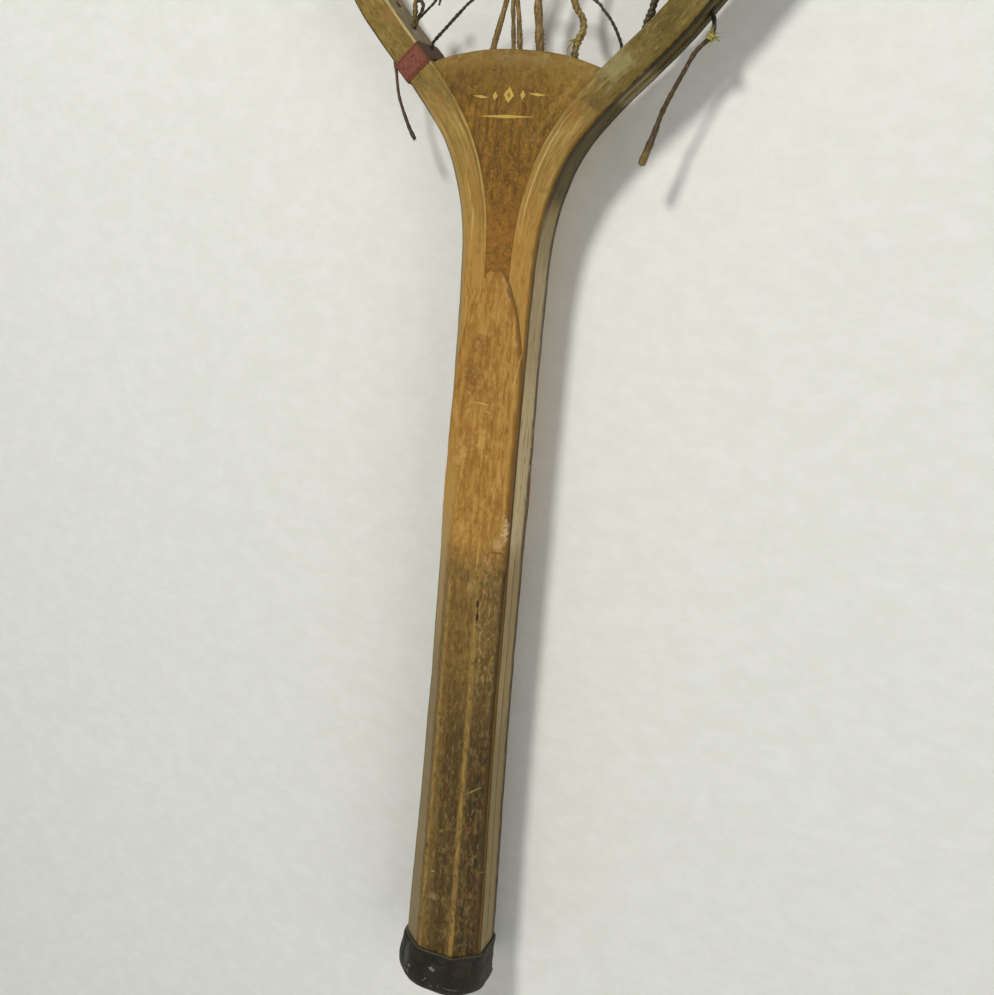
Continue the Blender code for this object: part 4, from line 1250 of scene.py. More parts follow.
@dataclass
class Wedge:
    """Wedge of the throat with its crown, its flaring sides and the tail between the strip's legs."""

    outline: Outline
    strings: "Strings"
    columns: int = 30
    roll_height: float = 0.0052
    roll_depth: float = 0.0012
    edge_radius: float = 0.0005
    step: float = 0.0025
    fine_step: float = 0.0006
    hole_radii: tuple = (1.45, 1.3, 1.3, 2.0, 1.75)

    def crown(self, half: float) -> float:
        """Height of the crown at a distance from the middle."""
        sizes = self.outline.sizes
        return sizes.crown_height - sizes.crown_drop * (abs(half) / sizes.crown_corner) ** sizes.crown_power

    def side_table(self) -> list[tuple[float, float]]:
        """Outline of the wedge's side.

        Returns:
            Rows of height and half width, from the butt up to the crown's corner.
        """
        outline = self.outline
        table = []
        run = outline.runs[-1]
        while run > 0:
            spot = outline.place(run, -outline.width(run) - outline.sizes.seam)
            height = 0.0 if not table else spot.z
            if spot.z >= self.crown(spot.x):
                break
            table.append((height, spot.x))
            run -= 0.5 * MM
        return table

    def build(self) -> bpy.types.Object:
        """Makes the wedge, bored for the strings that leave its crown."""
        table = self.side_table()
        corner = table[-1][0]
        rows = [index * self.step for index in range(int((corner - 0.007) / self.step))]
        fine = round((corner - rows[-1]) / self.fine_step)
        rows += [rows[-1] + (corner - rows[-1]) * index / fine for index in range(1, fine + 1)]
        half_depth = self.outline.sizes.half_depth
        skin = Skin("throat_wedge_wood")
        for height in rows:
            below = corner - height
            roll = max(1 - below / self.roll_height, 0.0) ** 2 * self.roll_depth
            self.row(skin, between(table, height), height, corner, half_depth - roll, below)
        edge = half_depth - self.roll_depth
        for rise, depth in ((0.3, 0.15), (0.8, 0.6), (1.0, 1.2)):
            self.row(skin, table[-1][1], corner + rise * self.edge_radius, corner,
                     edge - depth * self.edge_radius, 0.0)
        for share in (0.7, 0.35):
            self.row(skin, table[-1][1], corner + self.edge_radius, corner, edge * share, 0.0)
        wedge = skin.build(zipped=True)
        weather(wedge, 0.014, 0.12 * MM, 7.7, lambda spot: ease(0.0, 0.01, spot.z))
        bars = []
        for (low, above), radius in zip(self.strings.crown_exits(), self.hole_radii):
            direction = (above - low).normalized()
            bars.append((above - direction * 0.0095, above + direction * 0.008, radius * MM))
        cut_bars(wedge, bars, 18)
        return dress(wedge, WEDGE_WOOD.build(), "mahogany", "throat_wedge")

    def row(self, skin: Skin, half: float, height: float, corner: float, depth: float, below: float) -> None:
        """Adds one row of points round the wedge.

        Args:
            skin: Skin that takes the row.
            half: Half width of the row.
            height: Height of the row's ends.
            corner: Height of the crown's corner.
            depth: Half depth of the row.
            below: Distance under the crown's edge.
        """
        bulge = ease(corner - 0.05, corner, height)
        front = []
        for index in range(self.columns + 1):
            share = 2 * index / self.columns - 1
            across = half * math.copysign(abs(share) ** 0.8, share)
            rise = max(self.crown(across) - self.crown(half), 0.0) * bulge
            drop = 0.25 * MM if index in (0, self.columns) else 0.0
            front.append(Vector((across, -depth + drop, min(height, corner) + rise - self.edge_radius
                                 + max(height - corner, 0.0))))
        if height == 0.0:
            for point in front:
                point.z = 0.0
        back = [Vector((point.x, -point.y, point.z)) for point in reversed(front)]
        skin.add(front + back, rims=[below] * (2 * len(front)), edges=[below] * (2 * len(front)))


@dataclass
class HandleSlab:
    """Slab of hardwood on one face of the handle, from the butt to its rounded tongue."""

    outline: Outline
    face: Face
    shift: float = -0.7
    lift: float = 0.00006
    step: float = 0.00125
    fine_step: float = 0.0005
    sections: tuple = (
        (0, 16.4, 8, 0.3), (18.8, 16.3, 7.9, 0.3), (43, 16.2, 7.7, 0.3), (93, 15.7, 7.2, 0.3),
        (143, 15.5, 7, 0.3), (188, 15.3, 6.6, 0.35), (210, 14.2, 6.9, 0.95), (231, 12.6, 7.8, 1.9),
        (250, 11.2, 10.4, 1.15), (268, 10.3, 12.9, 0.7), (284.5, 9.75, 13.2, 0.55), (292.5, 9.6, 12.1, 0.5),
        (299, 9.5, 10.8, 0.5), (305.5, 9.4, 9.3, 0.45), (313, 9.3, 6.5, 0.45), (318, 9.2, 4.1, 0.4),
        (320.5, 9.15, 2.3, 0.4), (321.5, 9.1, 0.7, 0.4),
    )
    dents: tuple = (
        ((6.2, -15.3, 183.2), (1.3, 3, 6.5), 1.1), ((13.2, -12.5, 218), (3, 4, 9), 0.35),
        ((-3.6, -12.5, 214), (5, 4, 9), 0.18), ((11.4, -14.5, 101.6), (5, 4, 1.6), 0.15),
    )
    tongue: tuple = (
        (268, 14.8), (284.5, 14), (292.5, 12.9), (299, 11.6), (305.5, 10.1), (313, 7.3), (318, 4.9),
        (320.5, 3), (321.5, 1.3),
    )

    def build(self) -> bpy.types.Object:
        """Makes the slab."""
        tip = self.sections[-1][0] * MM
        rows = [index * self.step for index in range(int((tip - 0.008) / self.step))]
        fine = round((tip - rows[-1]) / self.fine_step)
        rows += [rows[-1] + (tip - rows[-1]) * index / fine for index in range(1, fine + 1)]
        profile, tongue = Profile(self.sections), Profile(self.tongue)
        wood = self.outline.sizes.half_depth + self.lift
        skin = Skin(f"{self.face.name.lower()}_slab_wood")
        for height in rows:
            outer, flat, wall = (value * MM for value in profile.at(height / MM))
            inset = (0.4 + 0.6 * ease(0.215, 0.19, height)) * MM
            base = self.outline.half_width(max(height, 1e-5)) - inset
            if height >= self.tongue[0][0] * MM:
                base = min(base, tongue.at(height / MM)[0] * MM)
            shift = self.shift * MM * ease(0.26, 0.2, height) * (1 if self.face is Face.FRONT else 0)
            ridge = 0.9 * MM * ease(0.3, 0.2, height) + 0.35 * MM
            thin = ease(0.255, 0.292, height)
            wall_top = wood + (wall + 0.2 * MM) * (1 - thin) + 0.1 * MM
            outer -= 0.45 * MM * thin
            flat *= 1 - 0.25 * thin
            points, rims = rounded_section((
                Corner(-base, wood, 0.05 * MM, 2, False), Corner(-base, wall_top, 0.35 * MM, 8, False),
                Corner(shift - flat, outer, ridge, 16), Corner(shift + flat, outer, ridge, 8),
                Corner(base, wall_top, 0.35 * MM, 2, False), Corner(base, wood, 0.05 * MM, 6, False),
            ))
            ring = [Vector((point.x, point.y * self.face.value, height)) for point in points]
            skin.add(ring, rims=rims, edges=[base - abs(point.x) for point in points])
        slab = skin.build()
        outside = lambda spot: ease(0.0, 0.01, spot.z) * ease(wood, wood + 0.001, abs(spot.y))
        weather(slab, 0.010, 0.20 * MM, 11.3 * self.face.value, outside)
        weather(slab, 0.0035, 0.07 * MM, 5.9 * self.face.value, outside)
        if self.face is Face.FRONT:
            for centre, reach, depth in self.dents:
                dent(slab, centre, reach, depth)
        node = f"{self.face.name.lower()}_handle_slab"
        return dress(slab, HANDLE_WOOD.build(), "handle_wood", node)


@dataclass
class ButtBand:
    """Flared leather band stretched round the butt."""

    outline: Outline
    slab: HandleSlab
    section: tuple = (
        (0.08, 0.6), (3, 0.6), (3.9, 2.6), (4.1, 6), (3.6, 11), (2.5, 16), (1.6, 18.6), (0.08, 18.8),
    )
    corner_radius: float = 15.0
    pressed_turn: float = math.radians(20.0)
    lump: float = 0.007
    lump_depth: float = 0.35

    def ring(self, out: float, height: float, bulge: float) -> list[Vector]:
        """Eight-sided ring round the wood.

        Args:
            out: Distance out from the wood, in millimetres.
            height: Height over the butt, in millimetres.
            bulge: How far the leather stands out there, in millimetres, which rounds the corners.

        Returns:
            Points of the ring in space.
        """
        half_depth, flat = Profile(self.slab.sections).at(height)[:2]
        half_width = self.outline.half_width(max(height, 0.01) * MM) / MM
        side = self.outline.sizes.half_depth / MM - 0.55
        lengthen = out * math.tan(math.radians(22.5))
        quarter = [(half_width + out, side + lengthen), (flat + lengthen, half_depth + out)]
        corners = quarter + [(-x, y) for x, y in reversed(quarter)]
        corners += [(-x, -y) for x, y in corners]
        radius = 0.05 + 2.5 * ease(0.3, 1.2, bulge) + (self.corner_radius - 2.5) * ease(1.4, 3.4, bulge)
        points = rounded_section([Corner(x, y, radius, 6) for x, y in corners], 6)[0]
        return [Vector((point.x, point.y, height)) * MM for point in points]

    def pressed_ring(self, out: float, height: float) -> list[Vector]:
        """The same ring, but lying closer to the wood on the right, where the leather is pressed flat.

        Args:
            out: Distance out from the wood, in millimetres.
            height: Height over the butt, in millimetres.

        Returns:
            Points of the ring in space.
        """
        full, close = self.ring(out, height, out), self.ring(min(out, 0.6 + 0.3 * out), height, out)
        toward = Vector((math.cos(self.pressed_turn), math.sin(self.pressed_turn), 0.0))
        points = []
        for far, near in zip(full, close):
            facing = Vector((far.x, far.y, 0.0)).normalized().dot(toward)
            points.append(far.lerp(near, ease(0.45, 0.9, facing)))
        return points

    def build(self) -> bpy.types.Object:
        """Makes the band."""
        skin = Skin("leather_band")
        route = smooth_route([(out, height, 0.0) for out, height in self.section[1:-1]], 0.9)
        lip = [Vector((0.9, 0.75, 0.0)), Vector((2.4, 0.45, 0.0))]
        top = [Vector((1.35, 18.95, 0.0)), Vector((0.8, 19.0, 0.0))]
        for place in [Vector((*self.section[0], 0.0)), *lip, *route, *top, Vector((*self.section[-1], 0.0))]:
            ring = self.pressed_ring(place.x, place.y)
            if place.x > 0.5:
                for point in ring:
                    level = Vector((point.x, point.y, 0.0)).normalized()
                    point += level * noise.fractal(point / self.lump, 1.0, 2.0, 3) * self.lump_depth * MM
                    point.z += noise.noise(point * 260) * 0.25 * MM * ease(12.0, 18.0, place.y)
            skin.add(ring, [(index * 0.5 * MM, place.y * MM) for index in range(len(ring))],
                     [max(18.9 - place.y, 0.0) * MM] * len(ring))
        band = skin.build(hollow=True)
        return dress(band, BUTT_LEATHER.build(), "leather", "butt_band")


@dataclass
class ShoulderBinding:
    """Turns of cotton tape wound tight round the left shoulder, one edge a little frayed."""

    outline: Outline
    low: float = -13.8
    high: float = -7.6
    gap: float = 0.08
    thickness: float = 0.55
    inner_radius: float = 1.3
    outer_radius: float = 1.8
    step: float = 0.0004

    def build(self) -> bpy.types.Object:
        """Makes the binding as one thin sleeve."""
        outline = self.outline
        crown = outline.sizes.crown_height
        low = outline.run_at(crown + self.low * MM)
        high = outline.run_at(crown + self.high * MM)
        count = round(abs(high - low) / self.step)
        inside, outside = self.inner_radius * MM, self.outer_radius * MM
        skin = Skin("binding_tape")
        inner = []
        for index in range(count + 1):
            share = index / count
            run = -(low + (high - low) * share)
            width, half = outline.width(run), outline.sizes.half_depth
            edge = min(share, 1 - share) * 2
            for grow, rings in ((self.gap + self.thickness * (0.75 + 0.25 * ease(0.0, 0.25, edge)), None),
                                (self.gap, inner)):
                extra = grow * MM
                near, far, deep = -width - extra, extra, half + extra
                points, _ = rounded_section((
                    Corner(near, -deep, inside, 12), Corner(far, -deep, outside, 12),
                    Corner(far, deep, outside, 12), Corner(near, deep, inside, 12),
                ), 4)
                ring, strip = [], []
                for number, point in enumerate(points):
                    spot = outline.place(run, point.x, point.y)
                    if rings is None:
                        spot += (spot - outline.place(run, -width / 2)).normalized() * (
                            noise.noise(spot * 900) * 0.08 * MM)
                    wobble = noise.noise(Vector((number * 0.35, share * 2.0, 0.0))) * 0.35 * MM * (1 - edge)
                    moved = outline.place(run + wobble, point.x, point.y)
                    spot += moved - outline.place(run, point.x, point.y)
                    ring.append(spot)
                    strip.append((point.x, run))
                if rings is None:
                    skin.add(ring, strip, [edge * 3 * MM] * len(ring))
                else:
                    rings.append((ring, strip, [0.05] * len(ring)))
        for ring, strip, rims in reversed(inner):
            skin.add(ring, strip, rims)
        sleeve = skin.build(hollow=True)
        bars = []
        for index in range(outline.sizes.holes_per_side - 3, outline.sizes.holes_per_side):
            run = outline.hole_run(index, Side.LEFT)
            if low * 0.98 < -run < high * 1.02 or high * 0.98 < -run < low * 1.02:
                bars.append((outline.place(run, -outline.width(run) - 0.003), outline.place(run, 0.003),
                             outline.sizes.hole_radius * 0.9))
        if bars:
            cut_bars(sleeve, bars)
        return dress(sleeve, WovenTape().build(), "red_cloth", "shoulder_binding")


@dataclass
class Strand:
    """String, tail or fibre: plies twisted into an uneven round length."""

    name: str
    route: list[Vector]
    radii: Sequence[float]
    plies: int = 3
    pitch: float = 5.0
    ply_depth: float = 0.12
    unevenness: float = 0.12
    step: float = 0.8
    sides: int = 12
    seed: float = 0.0

    def centre(self) -> list[Vector]:
        """Follows the route.

        Returns:
            Points at even steps along it.
        """
        points = [self.route[0]]
        left = self.step * MM
        for start, stop in zip(self.route, self.route[1:]):
            length = (stop - start).length
            done = 0.0
            while length - done >= left:
                done += left
                points.append(start.lerp(stop, done / length))
                left = self.step * MM
            left -= length - done
        if (points[-1] - self.route[-1]).length > 0.25 * self.step * MM:
            points.append(self.route[-1])
        else:
            points[-1] = self.route[-1]
        return points

    def skin(self, centre: list[Vector]) -> Skin:
        """Lays the plies round a centre line.

        Args:
            centre: Points of the centre line.

        Returns:
            Skin of the strand.
        """
        skin = Skin(self.name)
        table = [(index / (len(self.radii) - 1), radius) for index, radius in enumerate(self.radii)]
        along = (centre[1] - centre[0]).normalized()
        across = along.orthogonal().normalized()
        done = 0.0
        for index, spot in enumerate(centre):
            ahead = centre[min(index + 1, len(centre) - 1)] - centre[max(index - 1, 0)]
            ahead = ahead.normalized()
            across = (across - ahead * across.dot(ahead)).normalized()
            up = ahead.cross(across)
            if index:
                done += (spot - centre[index - 1]).length
            end = min(index, len(centre) - 1 - index)
            radius = between(table, index / (len(centre) - 1)) * MM * (0.55 if end == 0 else 1.0)
            radius *= 1 + self.unevenness * noise.noise(Vector((done * 350, self.seed, 0.3)))
            ring = []
            for side in range(self.sides):
                turn = side / self.sides * math.tau
                ply = math.cos(self.plies * (turn - done / (self.pitch * MM) * math.tau))
                reach = radius * (1 + self.ply_depth * 0.5 * ply)
                ring.append(spot + (across * math.cos(turn) + up * math.sin(turn)) * reach)
            skin.add(ring, [(side * 0.3 * MM, done) for side in range(self.sides)])
        return skin

    def build(self) -> bpy.types.Object:
        """Makes the strand as one closed tube."""
        return self.skin(self.centre()).build(sharp_angle=ROUND_ANGLE)


def join(name: str, items: Sequence[bpy.types.Object]) -> bpy.types.Object:
    """Joins objects into one, in the place of all of them.

    Args:
        name: Name of the joined object.
        items: Objects at the origin, removed here.

    Returns:
        The joined object.
    """
    shape = bmesh.new()
    for item in items:
        shape.from_mesh(item.data)
    joined = link_mesh(name, shape, ROUND_ANGLE)
    for item in items:
        bpy.data.objects.remove(item, do_unlink=True)
    return joined


def fray(name: str, root: Vector, toward: Vector, count: int, length: float, spread: float, radius: float,
         seed: int) -> list[bpy.types.Object]:
    """Loose fibres that fan out of a frayed place.

    Args:
        name: First part of the fibres' names.
        root: Where they leave the string.
        toward: Their middle direction.
        count: Number of fibres.
        length: Longest fibre, in millimetres.
        spread: Sideways spread as a share of the length.
        radius: Radius of a fibre, in millimetres.
        seed: Seed of their shapes.

    Returns:
        The fibres as closed tubes.
    """
    chance = random.Random(seed)
    fibres = []
    for number in range(count):
        reach = length * MM * chance.uniform(0.45, 1.0)
        lean = Vector([chance.uniform(-1, 1) for _ in range(3)]) * spread
        curl = Vector([chance.uniform(-1, 1) for _ in range(3)]) * spread * 0.8
        direction = (toward.normalized() + lean).normalized()
        points = [root + direction * reach * share + curl * reach * share ** 2
                  for share in (0, 0.3, 0.6, 1.0)]
        fibre = Strand(f"{name}_{number}", smooth_route(points, 0.5 * MM), (radius, radius, radius * 0.5),
                       plies=1, ply_depth=0.0, step=0.6, sides=5)
        fibres.append(fibre.build())
    return fibres


@dataclass
class Strings:
    """Slack and broken gut strings: long spans from the wedge, their crossings, and remains at the throat."""

    outline: Outline
    slack_1: tuple = (
        (-12.7, -7), (-12.2, 1), (-11.3, 5), (-10, 10.4), (-8.3, 17.9), (-7.7, 26), (-10, 42), (-16.5, 80),
        (-20, 120), (-17, 165),
    )
    slack_2: tuple = (
        (-4.2, -7), (-4.4, 1.2), (-5.2, 9.5), (-6, 17.9), (-5, 27), (-1.6, 48), (-6.5, 90), (-3.5, 135),
        (-5.3, 170),
    )
    slack_3: tuple = (
        (-1.3, -7), (-1.6, 1.3), (-3.1, 12.8), (-4, 17.9), (-2.9, 26), (3, 46), (8, 90), (3.5, 140),
        (5.3, 170),
    )
    slack_4: tuple = (
        (6.9, -7), (6.6, 0.8), (5.1, 11.2), (4.3, 18.1), (6, 30), (12.5, 55), (14, 95), (20, 140),
        (16.5, 170),
    )
    slack_5: tuple = (
        (21.4, -8), (20.6, -1.6), (20.6, 1.2), (21.3, 4.4), (22.7, 6.9), (22.9, 9.6), (22, 12.4),
        (20, 14.8), (18.4, 18), (17, 24), (18.5, 36), (23, 50), (22, 61),
    )
    short_ends: dict = field(default_factory=lambda: {
        Side.LEFT: (((-3, -22), (1, -40)), ((2, -14), (3, -27))),
        Side.RIGHT: (((2, -16), (-2, -33)), ((-3, -20), (-1, -46))),
    })
    arch: tuple = (
        (-38, -0.6, 1.6), (-35.9, -1, 3.8), (-32.4, -1.5, 7), (-28.6, -2, 10.6), (-25.3, -2.3, 13.7),
        (-21.7, -2.6, 16.8), (-12, -2.6, 23.3), (0, -2.6, 25.8), (14, -2.6, 24.2), (27.7, -2.6, 17.5),
        (30.4, -2.4, 14.9), (33.1, -2.2, 12.2), (35.3, -1.8, 9.2), (36.9, -1.3, 6.3), (38.3, -0.6, 3),
    )
    knotted: tuple = (
        (46.6, 0, 9.7), (46.9, 0, 11.6), (47.9, 0, 13.6), (48.2, 0, 15.6), (48.8, 0, 18.5), (51, 0.5, 29),
        (50.5, 1, 41), (45, 1, 50),
    )
    tuft_loop: tuple = (
        (-44.6, -1.2, 10.8), (-43.1, -1.4, 13), (-42.5, -1.6, 15.1), (-43.2, -1.7, 16.5),
        (-44.8, -1.8, 16.9), (-46, -1.9, 16), (-45.7, -1.9, 14.1), (-45.7, -1.7, 11.4), (-46.5, -1.3, 8.8),
    )
    tuft_strand: tuple = (
        (-45.7, 1, 10.2), (-44.4, 1, 11.6), (-43.1, 1, 12.8), (-41.1, 1, 14.7), (-39.2, 0.9, 16.4),
        (-38, 0.8, 18.2), (-36.9, 0.6, 19.6), (-36.2, 0.4, 18.4), (-36.7, 0.2, 15.3),
    )
    left_tail: tuple = (
        (-54.3, 0, -6.2), (-53.4, 0, -9.6), (-52.8, 0, -13.4), (-51.7, 0, -18.2), (-49.8, 0, -22.9),
        (-48, 0, -26.6), (-46.1, 0, -30.3), (-43.5, 0, -34.2),
    )
    right_tail: tuple = (
        (69.6, 0, 15.6), (70.9, 0, 12.4), (71.1, 0, 9.4), (70.5, 0, 6.8), (68.1, 0, 4.4), (65.3, 0, 1.2),
        (62.2, 0, -5.2), (59.2, 0, -11.5), (56, 0, -19.2), (54, 0, -26.4), (52.1, 0, -32.4),
        (50.3, 0, -37.8),
    )
    left_main_radii: tuple = (1.35, 0.85, *[0.75] * 14, 0.85, 0.9)
    right_main_radii: tuple = (2.0, 1.15, 0.85, *[0.75] * 13, 0.85, 1.1)
    broken_radii: tuple = (1.1, 1.45, 1.15, 1.3, 1.0, 0.85, 0.7)
    knotted_radii: tuple = (0.9, 1.2, 1.45, 1.1, 1.4, 1.1, 0.9, 0.7)
    tuft_loop_radii: tuple = (0.7, 0.75, 0.6, 0.6, 0.75, 0.9, 0.7)
    tuft_strand_radii: tuple = (0.5, 0.45, 0.45, 0.5, 0.42)
    left_tail_radii: tuple = (0.6, 0.6, 0.62, 0.62, 0.62, 0.65, 0.7, 0.85)
    right_tail_radii: tuple = (0.8, 0.85, 0.85, 0.85, 0.9, 1.0, 1.2, 1.6)
    weave_offset: float = 0.00085
    first_cross_hole: int = 9
    cross_count: int = 6
    mains_per_side: int = 4
    route_step: float = 0.0045
    hole_exit: float = 0.0015
    tuft_spread: float = 0.0006
    turn_steps: tuple = ((-6.0, 0.0), (-1.7, 0.0), (-0.55, 0.35), (-0.2, 1.3))

    def __post_init__(self) -> None:
        """Makes the two gut finishes, shared by all the strings."""
        self.gut = TwistedGut("dried_gut", "#4c3a18", "#8a7038", "#6c5428", (
            Layer("#3a2c12", 0.6, 0.5, height=(405, 400.5), across=(3, 4)),
            # Painted highlights: olive-yellow patches on the lower part of the twisted remnant.
            Layer("#8a7f3c", 0.5, 1, across=(15, 17), height=(420, 414), specks=(1.5, 1.5, 2.5),
                  cover=(0.44, 0.56)),
        )).build()
        self.dark_gut = TwistedGut("blackened_gut", "#1f1a0f", "#453c26", "#2c2516", (
            Layer("#6f5c20", 0.7, 0.5, across=(-44.6, -45.2), height=(408, 411, 424, 426)),
            Layer("#5a4a22", 0.6, 1, across=(42, 44), specks=(1.5, 1.5, 2.5), cover=(0.48, 0.6)),
        )).build()
        self.tail_gut = TwistedGut("browned_gut", "#2c1f0b", "#543d18", "#3d2b10", (
            Layer("#1d150a", 0.8, 0.5, height=(404, 409), across=RIGHT_HALF),
            Layer("#6f5c2e", 0.7, 1, height=(372, 366), across=RIGHT_HALF),
            Layer("#5f4128", 0.8, 1, height=(380, 392), across=LEFT_HALF),
            Layer("#2f281b", 0.7, 1, height=(378, 370), across=LEFT_HALF),
        )).build()
        self.pale_gut = TwistedGut("bleached_gut", "#7d7438", "#aca25c", "#918745").build()
        last = self.first_cross_hole + self.cross_count - 1
        self.cross_holes = list(range(last, self.first_cross_hole - 1, -1))
        self.main_holes = [(index, side) for side in Side for index in range(self.mains_per_side)]

    def over_crown(self, points: Sequence[Sequence[float]], depth: float = 0.0) -> list[Vector]:
        """Points in millimetres as x and height over the crown, or x, y and height, in space."""
        crown = self.outline.sizes.crown_height
        return [Vector((point[0] * MM, point[1] * MM if len(point) == 3 else depth, crown + point[-1] * MM))
                for point in points]

    def crown_exits(self) -> list[list[Vector]]:
        """Low and upper point of each string's hole in the crown."""
        return [self.over_crown(slack[:2])
                for slack in (self.slack_1, self.slack_2, self.slack_3, self.slack_4, self.slack_5)]

    def groove_turn(self, index: int, side: Side, toward: int) -> list[Vector]:
        """Points from inside a string hole out into the groove; toward is 1 on the way to higher numbers."""
        run = self.outline.hole_run(index, side)
        return [self.outline.place(run + side.value * toward * along * MM, offset * MM)
                for offset, along in self.turn_steps]

    def loop_over(self, first: int, second: int, side: Side) -> list[Vector]:
        """Route out through one hole, along the groove and back in through the hole beside it.

        Args:
            first: Hole that it leaves by, counted from the top of the head.
            second: Hole that it comes back by.
            side: Side of the hoop.

        Returns:
            Points of the route.
        """
        toward = 1 if second > first else -1
        start, stop = self.outline.hole_run(first, side), self.outline.hole_run(second, side)
        bottom = self.turn_steps[-1][0] * MM
        along = [self.outline.place((start + stop) / 2 + (stop - start) / 5 * share, bottom)
                 for share in (-1, 0, 1)]
        return (self.groove_turn(first, side, toward) + along
                + list(reversed(self.groove_turn(second, side, -toward))))

    def weave_sign(self, main: tuple[int, Side], cross: int) -> int:
        """1 where the main string passes behind the cross string, -1 where it passes in front."""
        index, side = main
        column = index if side is Side.RIGHT else -1 - index
        return 1 if (column + cross) % 2 else -1

    def woven_main(self, main: tuple[int, Side]) -> list[Vector]:
        """Route of a main string up through the cross strings to its hole in the top of the hoop."""
        mouth = self.outline.mouth(*main)
        route = [Vector((mouth.x, self.weave_offset * self.weave_sign(main, cross),
                         self.outline.mouth(cross, Side.RIGHT).z)) for cross in self.cross_holes]
        return [*route, mouth]

    def woven_cross(self, cross: int) -> list[Vector]:
        """Route of a cross string from its hole on the left to its hole on the right."""
        left, right = self.outline.mouth(cross, Side.LEFT), self.outline.mouth(cross, Side.RIGHT)
        mains = sorted(self.main_holes, key=lambda pair: self.outline.mouth(*pair).x)
        route = [Vector((self.outline.mouth(*main).x,
                         -self.weave_offset * self.weave_sign(main, cross), left.z)) for main in mains]
        return [left, *route, right]

    def from_hole(self, index: int, side: Side, depth: float, offsets: Sequence[float],
                  points: Sequence[Sequence[float]]) -> list[Vector]:
        """Smooth route that starts on a string hole's axis and goes on through points over the crown.

        Args:
            index: Hole, counted from the top of the head.
            side: Side of the hoop.
            depth: Depth of the start toward the back.
            offsets: Offsets of the first points out from the outer face.
            points: Points in millimetres, with their heights over the crown.

        Returns:
            Points of the route.
        """
        start = [self.outline.hole(index, side, offset, depth) for offset in offsets]
        return start + smooth_route([start[-1], *self.over_crown(points)], self.route_step * 0.25)[1:]

    def tail_routes(self) -> tuple[list[Vector], list[Vector]]:
        """Centre lines of the two tails: out of their holes, the left one along the groove, then hanging."""
        outline = self.outline
        lowest = outline.sizes.holes_per_side - 1
        crown = outline.sizes.crown_height
        inside = -outline.width(outline.run_at(crown)) * 0.5
        start = abs(outline.hole_run(lowest - 2, Side.LEFT))
        stop = outline.run_at(crown - 0.0022)
        groove = [outline.place(-(start + (stop - start) * share), -0.00055)
                  for share in (0.06, 0.35, 0.65, 0.95)]
        left = [outline.hole(lowest - 2, Side.LEFT, inside), outline.hole(lowest - 2, Side.LEFT, -0.0017)]
        left += smooth_route([left[-1], *groove, *self.over_crown(self.left_tail)], 0.001)[1:]
        right = self.from_hole(lowest - 3, Side.RIGHT, 0.0, (inside, inside * 0.4, 0.0003), self.right_tail)
        return left, right

    def tails(self) -> None:
        """The two loose tails that hang outside the hoop from their holes, broken off at their ends."""
        left, right = self.tail_routes()
        for name, side, route, radii, thickness in (
                ("left_tail", Side.LEFT, left, self.left_tail_radii, 0.0013),
                ("right_tail", Side.RIGHT, right, self.right_tail_radii, 0.0018)):
            strand = Strand(f"{name}_strand", route, radii, plies=2, pitch=6.0, ply_depth=0.10,
                            unevenness=0.2, step=0.4, seed=side.value)
            centre = strand.centre()
            piece = strand.skin(centre).build(sharp_angle=ROUND_ANGLE)
            dress(piece, self.tail_gut, "dark_gut", name)
            end = centre[-1]
            loose = fray(f"{name}_end", end - (end - centre[-4]), end - centre[-6], 7, 2.6, 0.40, 0.13, 7)
            if side is Side.RIGHT:
                tie = min(range(len(centre)), key=lambda index: (
                    centre[index] - self.over_crown([self.right_tail[3]])[0]).length)
                along = (centre[tie + 1] - centre[tie - 1]).normalized()
                across = along.orthogonal().normalized()
                turns = [centre[tie] + along * (share - 0.5) * 2.6 * MM
                         + (Matrix.Rotation(share * math.tau * 2.5, 3, along) @ across) * 1.3 * MM
                         for share in (step / 40 for step in range(41))]
                loose.append(Strand("tie", turns, (0.35, 0.55, 0.55, 0.35), plies=2, ply_depth=0.2,
                                    step=0.3).build())
                loose += fray("tie", centre[tie], Vector((0.9, -0.4, -0.1)), 11, 5.0, 0.6, 0.2, 11)
                loose += fray("tie_top", centre[tie], Vector((0.1, -0.4, 1.0)), 6, 4.6, 0.45, 0.2, 12)
            fibres = dress(join(f"{name}_fibres", loose), self.pale_gut, "gut")
            length = sum((after - before).length for before, after in zip(centre, centre[1:]))
            tuple(centre[0])
            [tuple(point) for point in centre]

    def long_span(self, points: Sequence[Sequence[float]], depth: float,
                  hole: tuple[int, Side]) -> list[Vector]:
        """Slack span from inside the wedge up through the crossing strings to its hole at the top."""
        return smooth_route([*self.over_crown(points, depth), *self.woven_main(hole)], self.route_step * 0.4)

    def long_mains(self) -> None:
        """Two strings, each of two slack spans from the wedge to the top, joined over the hoop."""
        left = (self.long_span(self.slack_1, -0.0004, (1, Side.LEFT)),
                self.long_span(self.slack_2, 0.0005, (0, Side.LEFT)))
        right = (self.long_span(self.slack_4, 0.0, (1, Side.RIGHT)),
                 self.long_span(self.slack_3, 0.0, (0, Side.RIGHT)))
        for number, side, (outer, inner), radii in (
                (1, Side.LEFT, left, self.left_main_radii), (2, Side.RIGHT, right, self.right_main_radii)):
            route = outer + self.loop_over(1, 0, side) + list(reversed(inner))
            strand = Strand(f"slack_strings_{number}", route, radii, seed=number, ply_depth=0.16,
                            unevenness=0.2)
            dress(strand.build(), self.gut, "gut", f"main_strings_{number}")

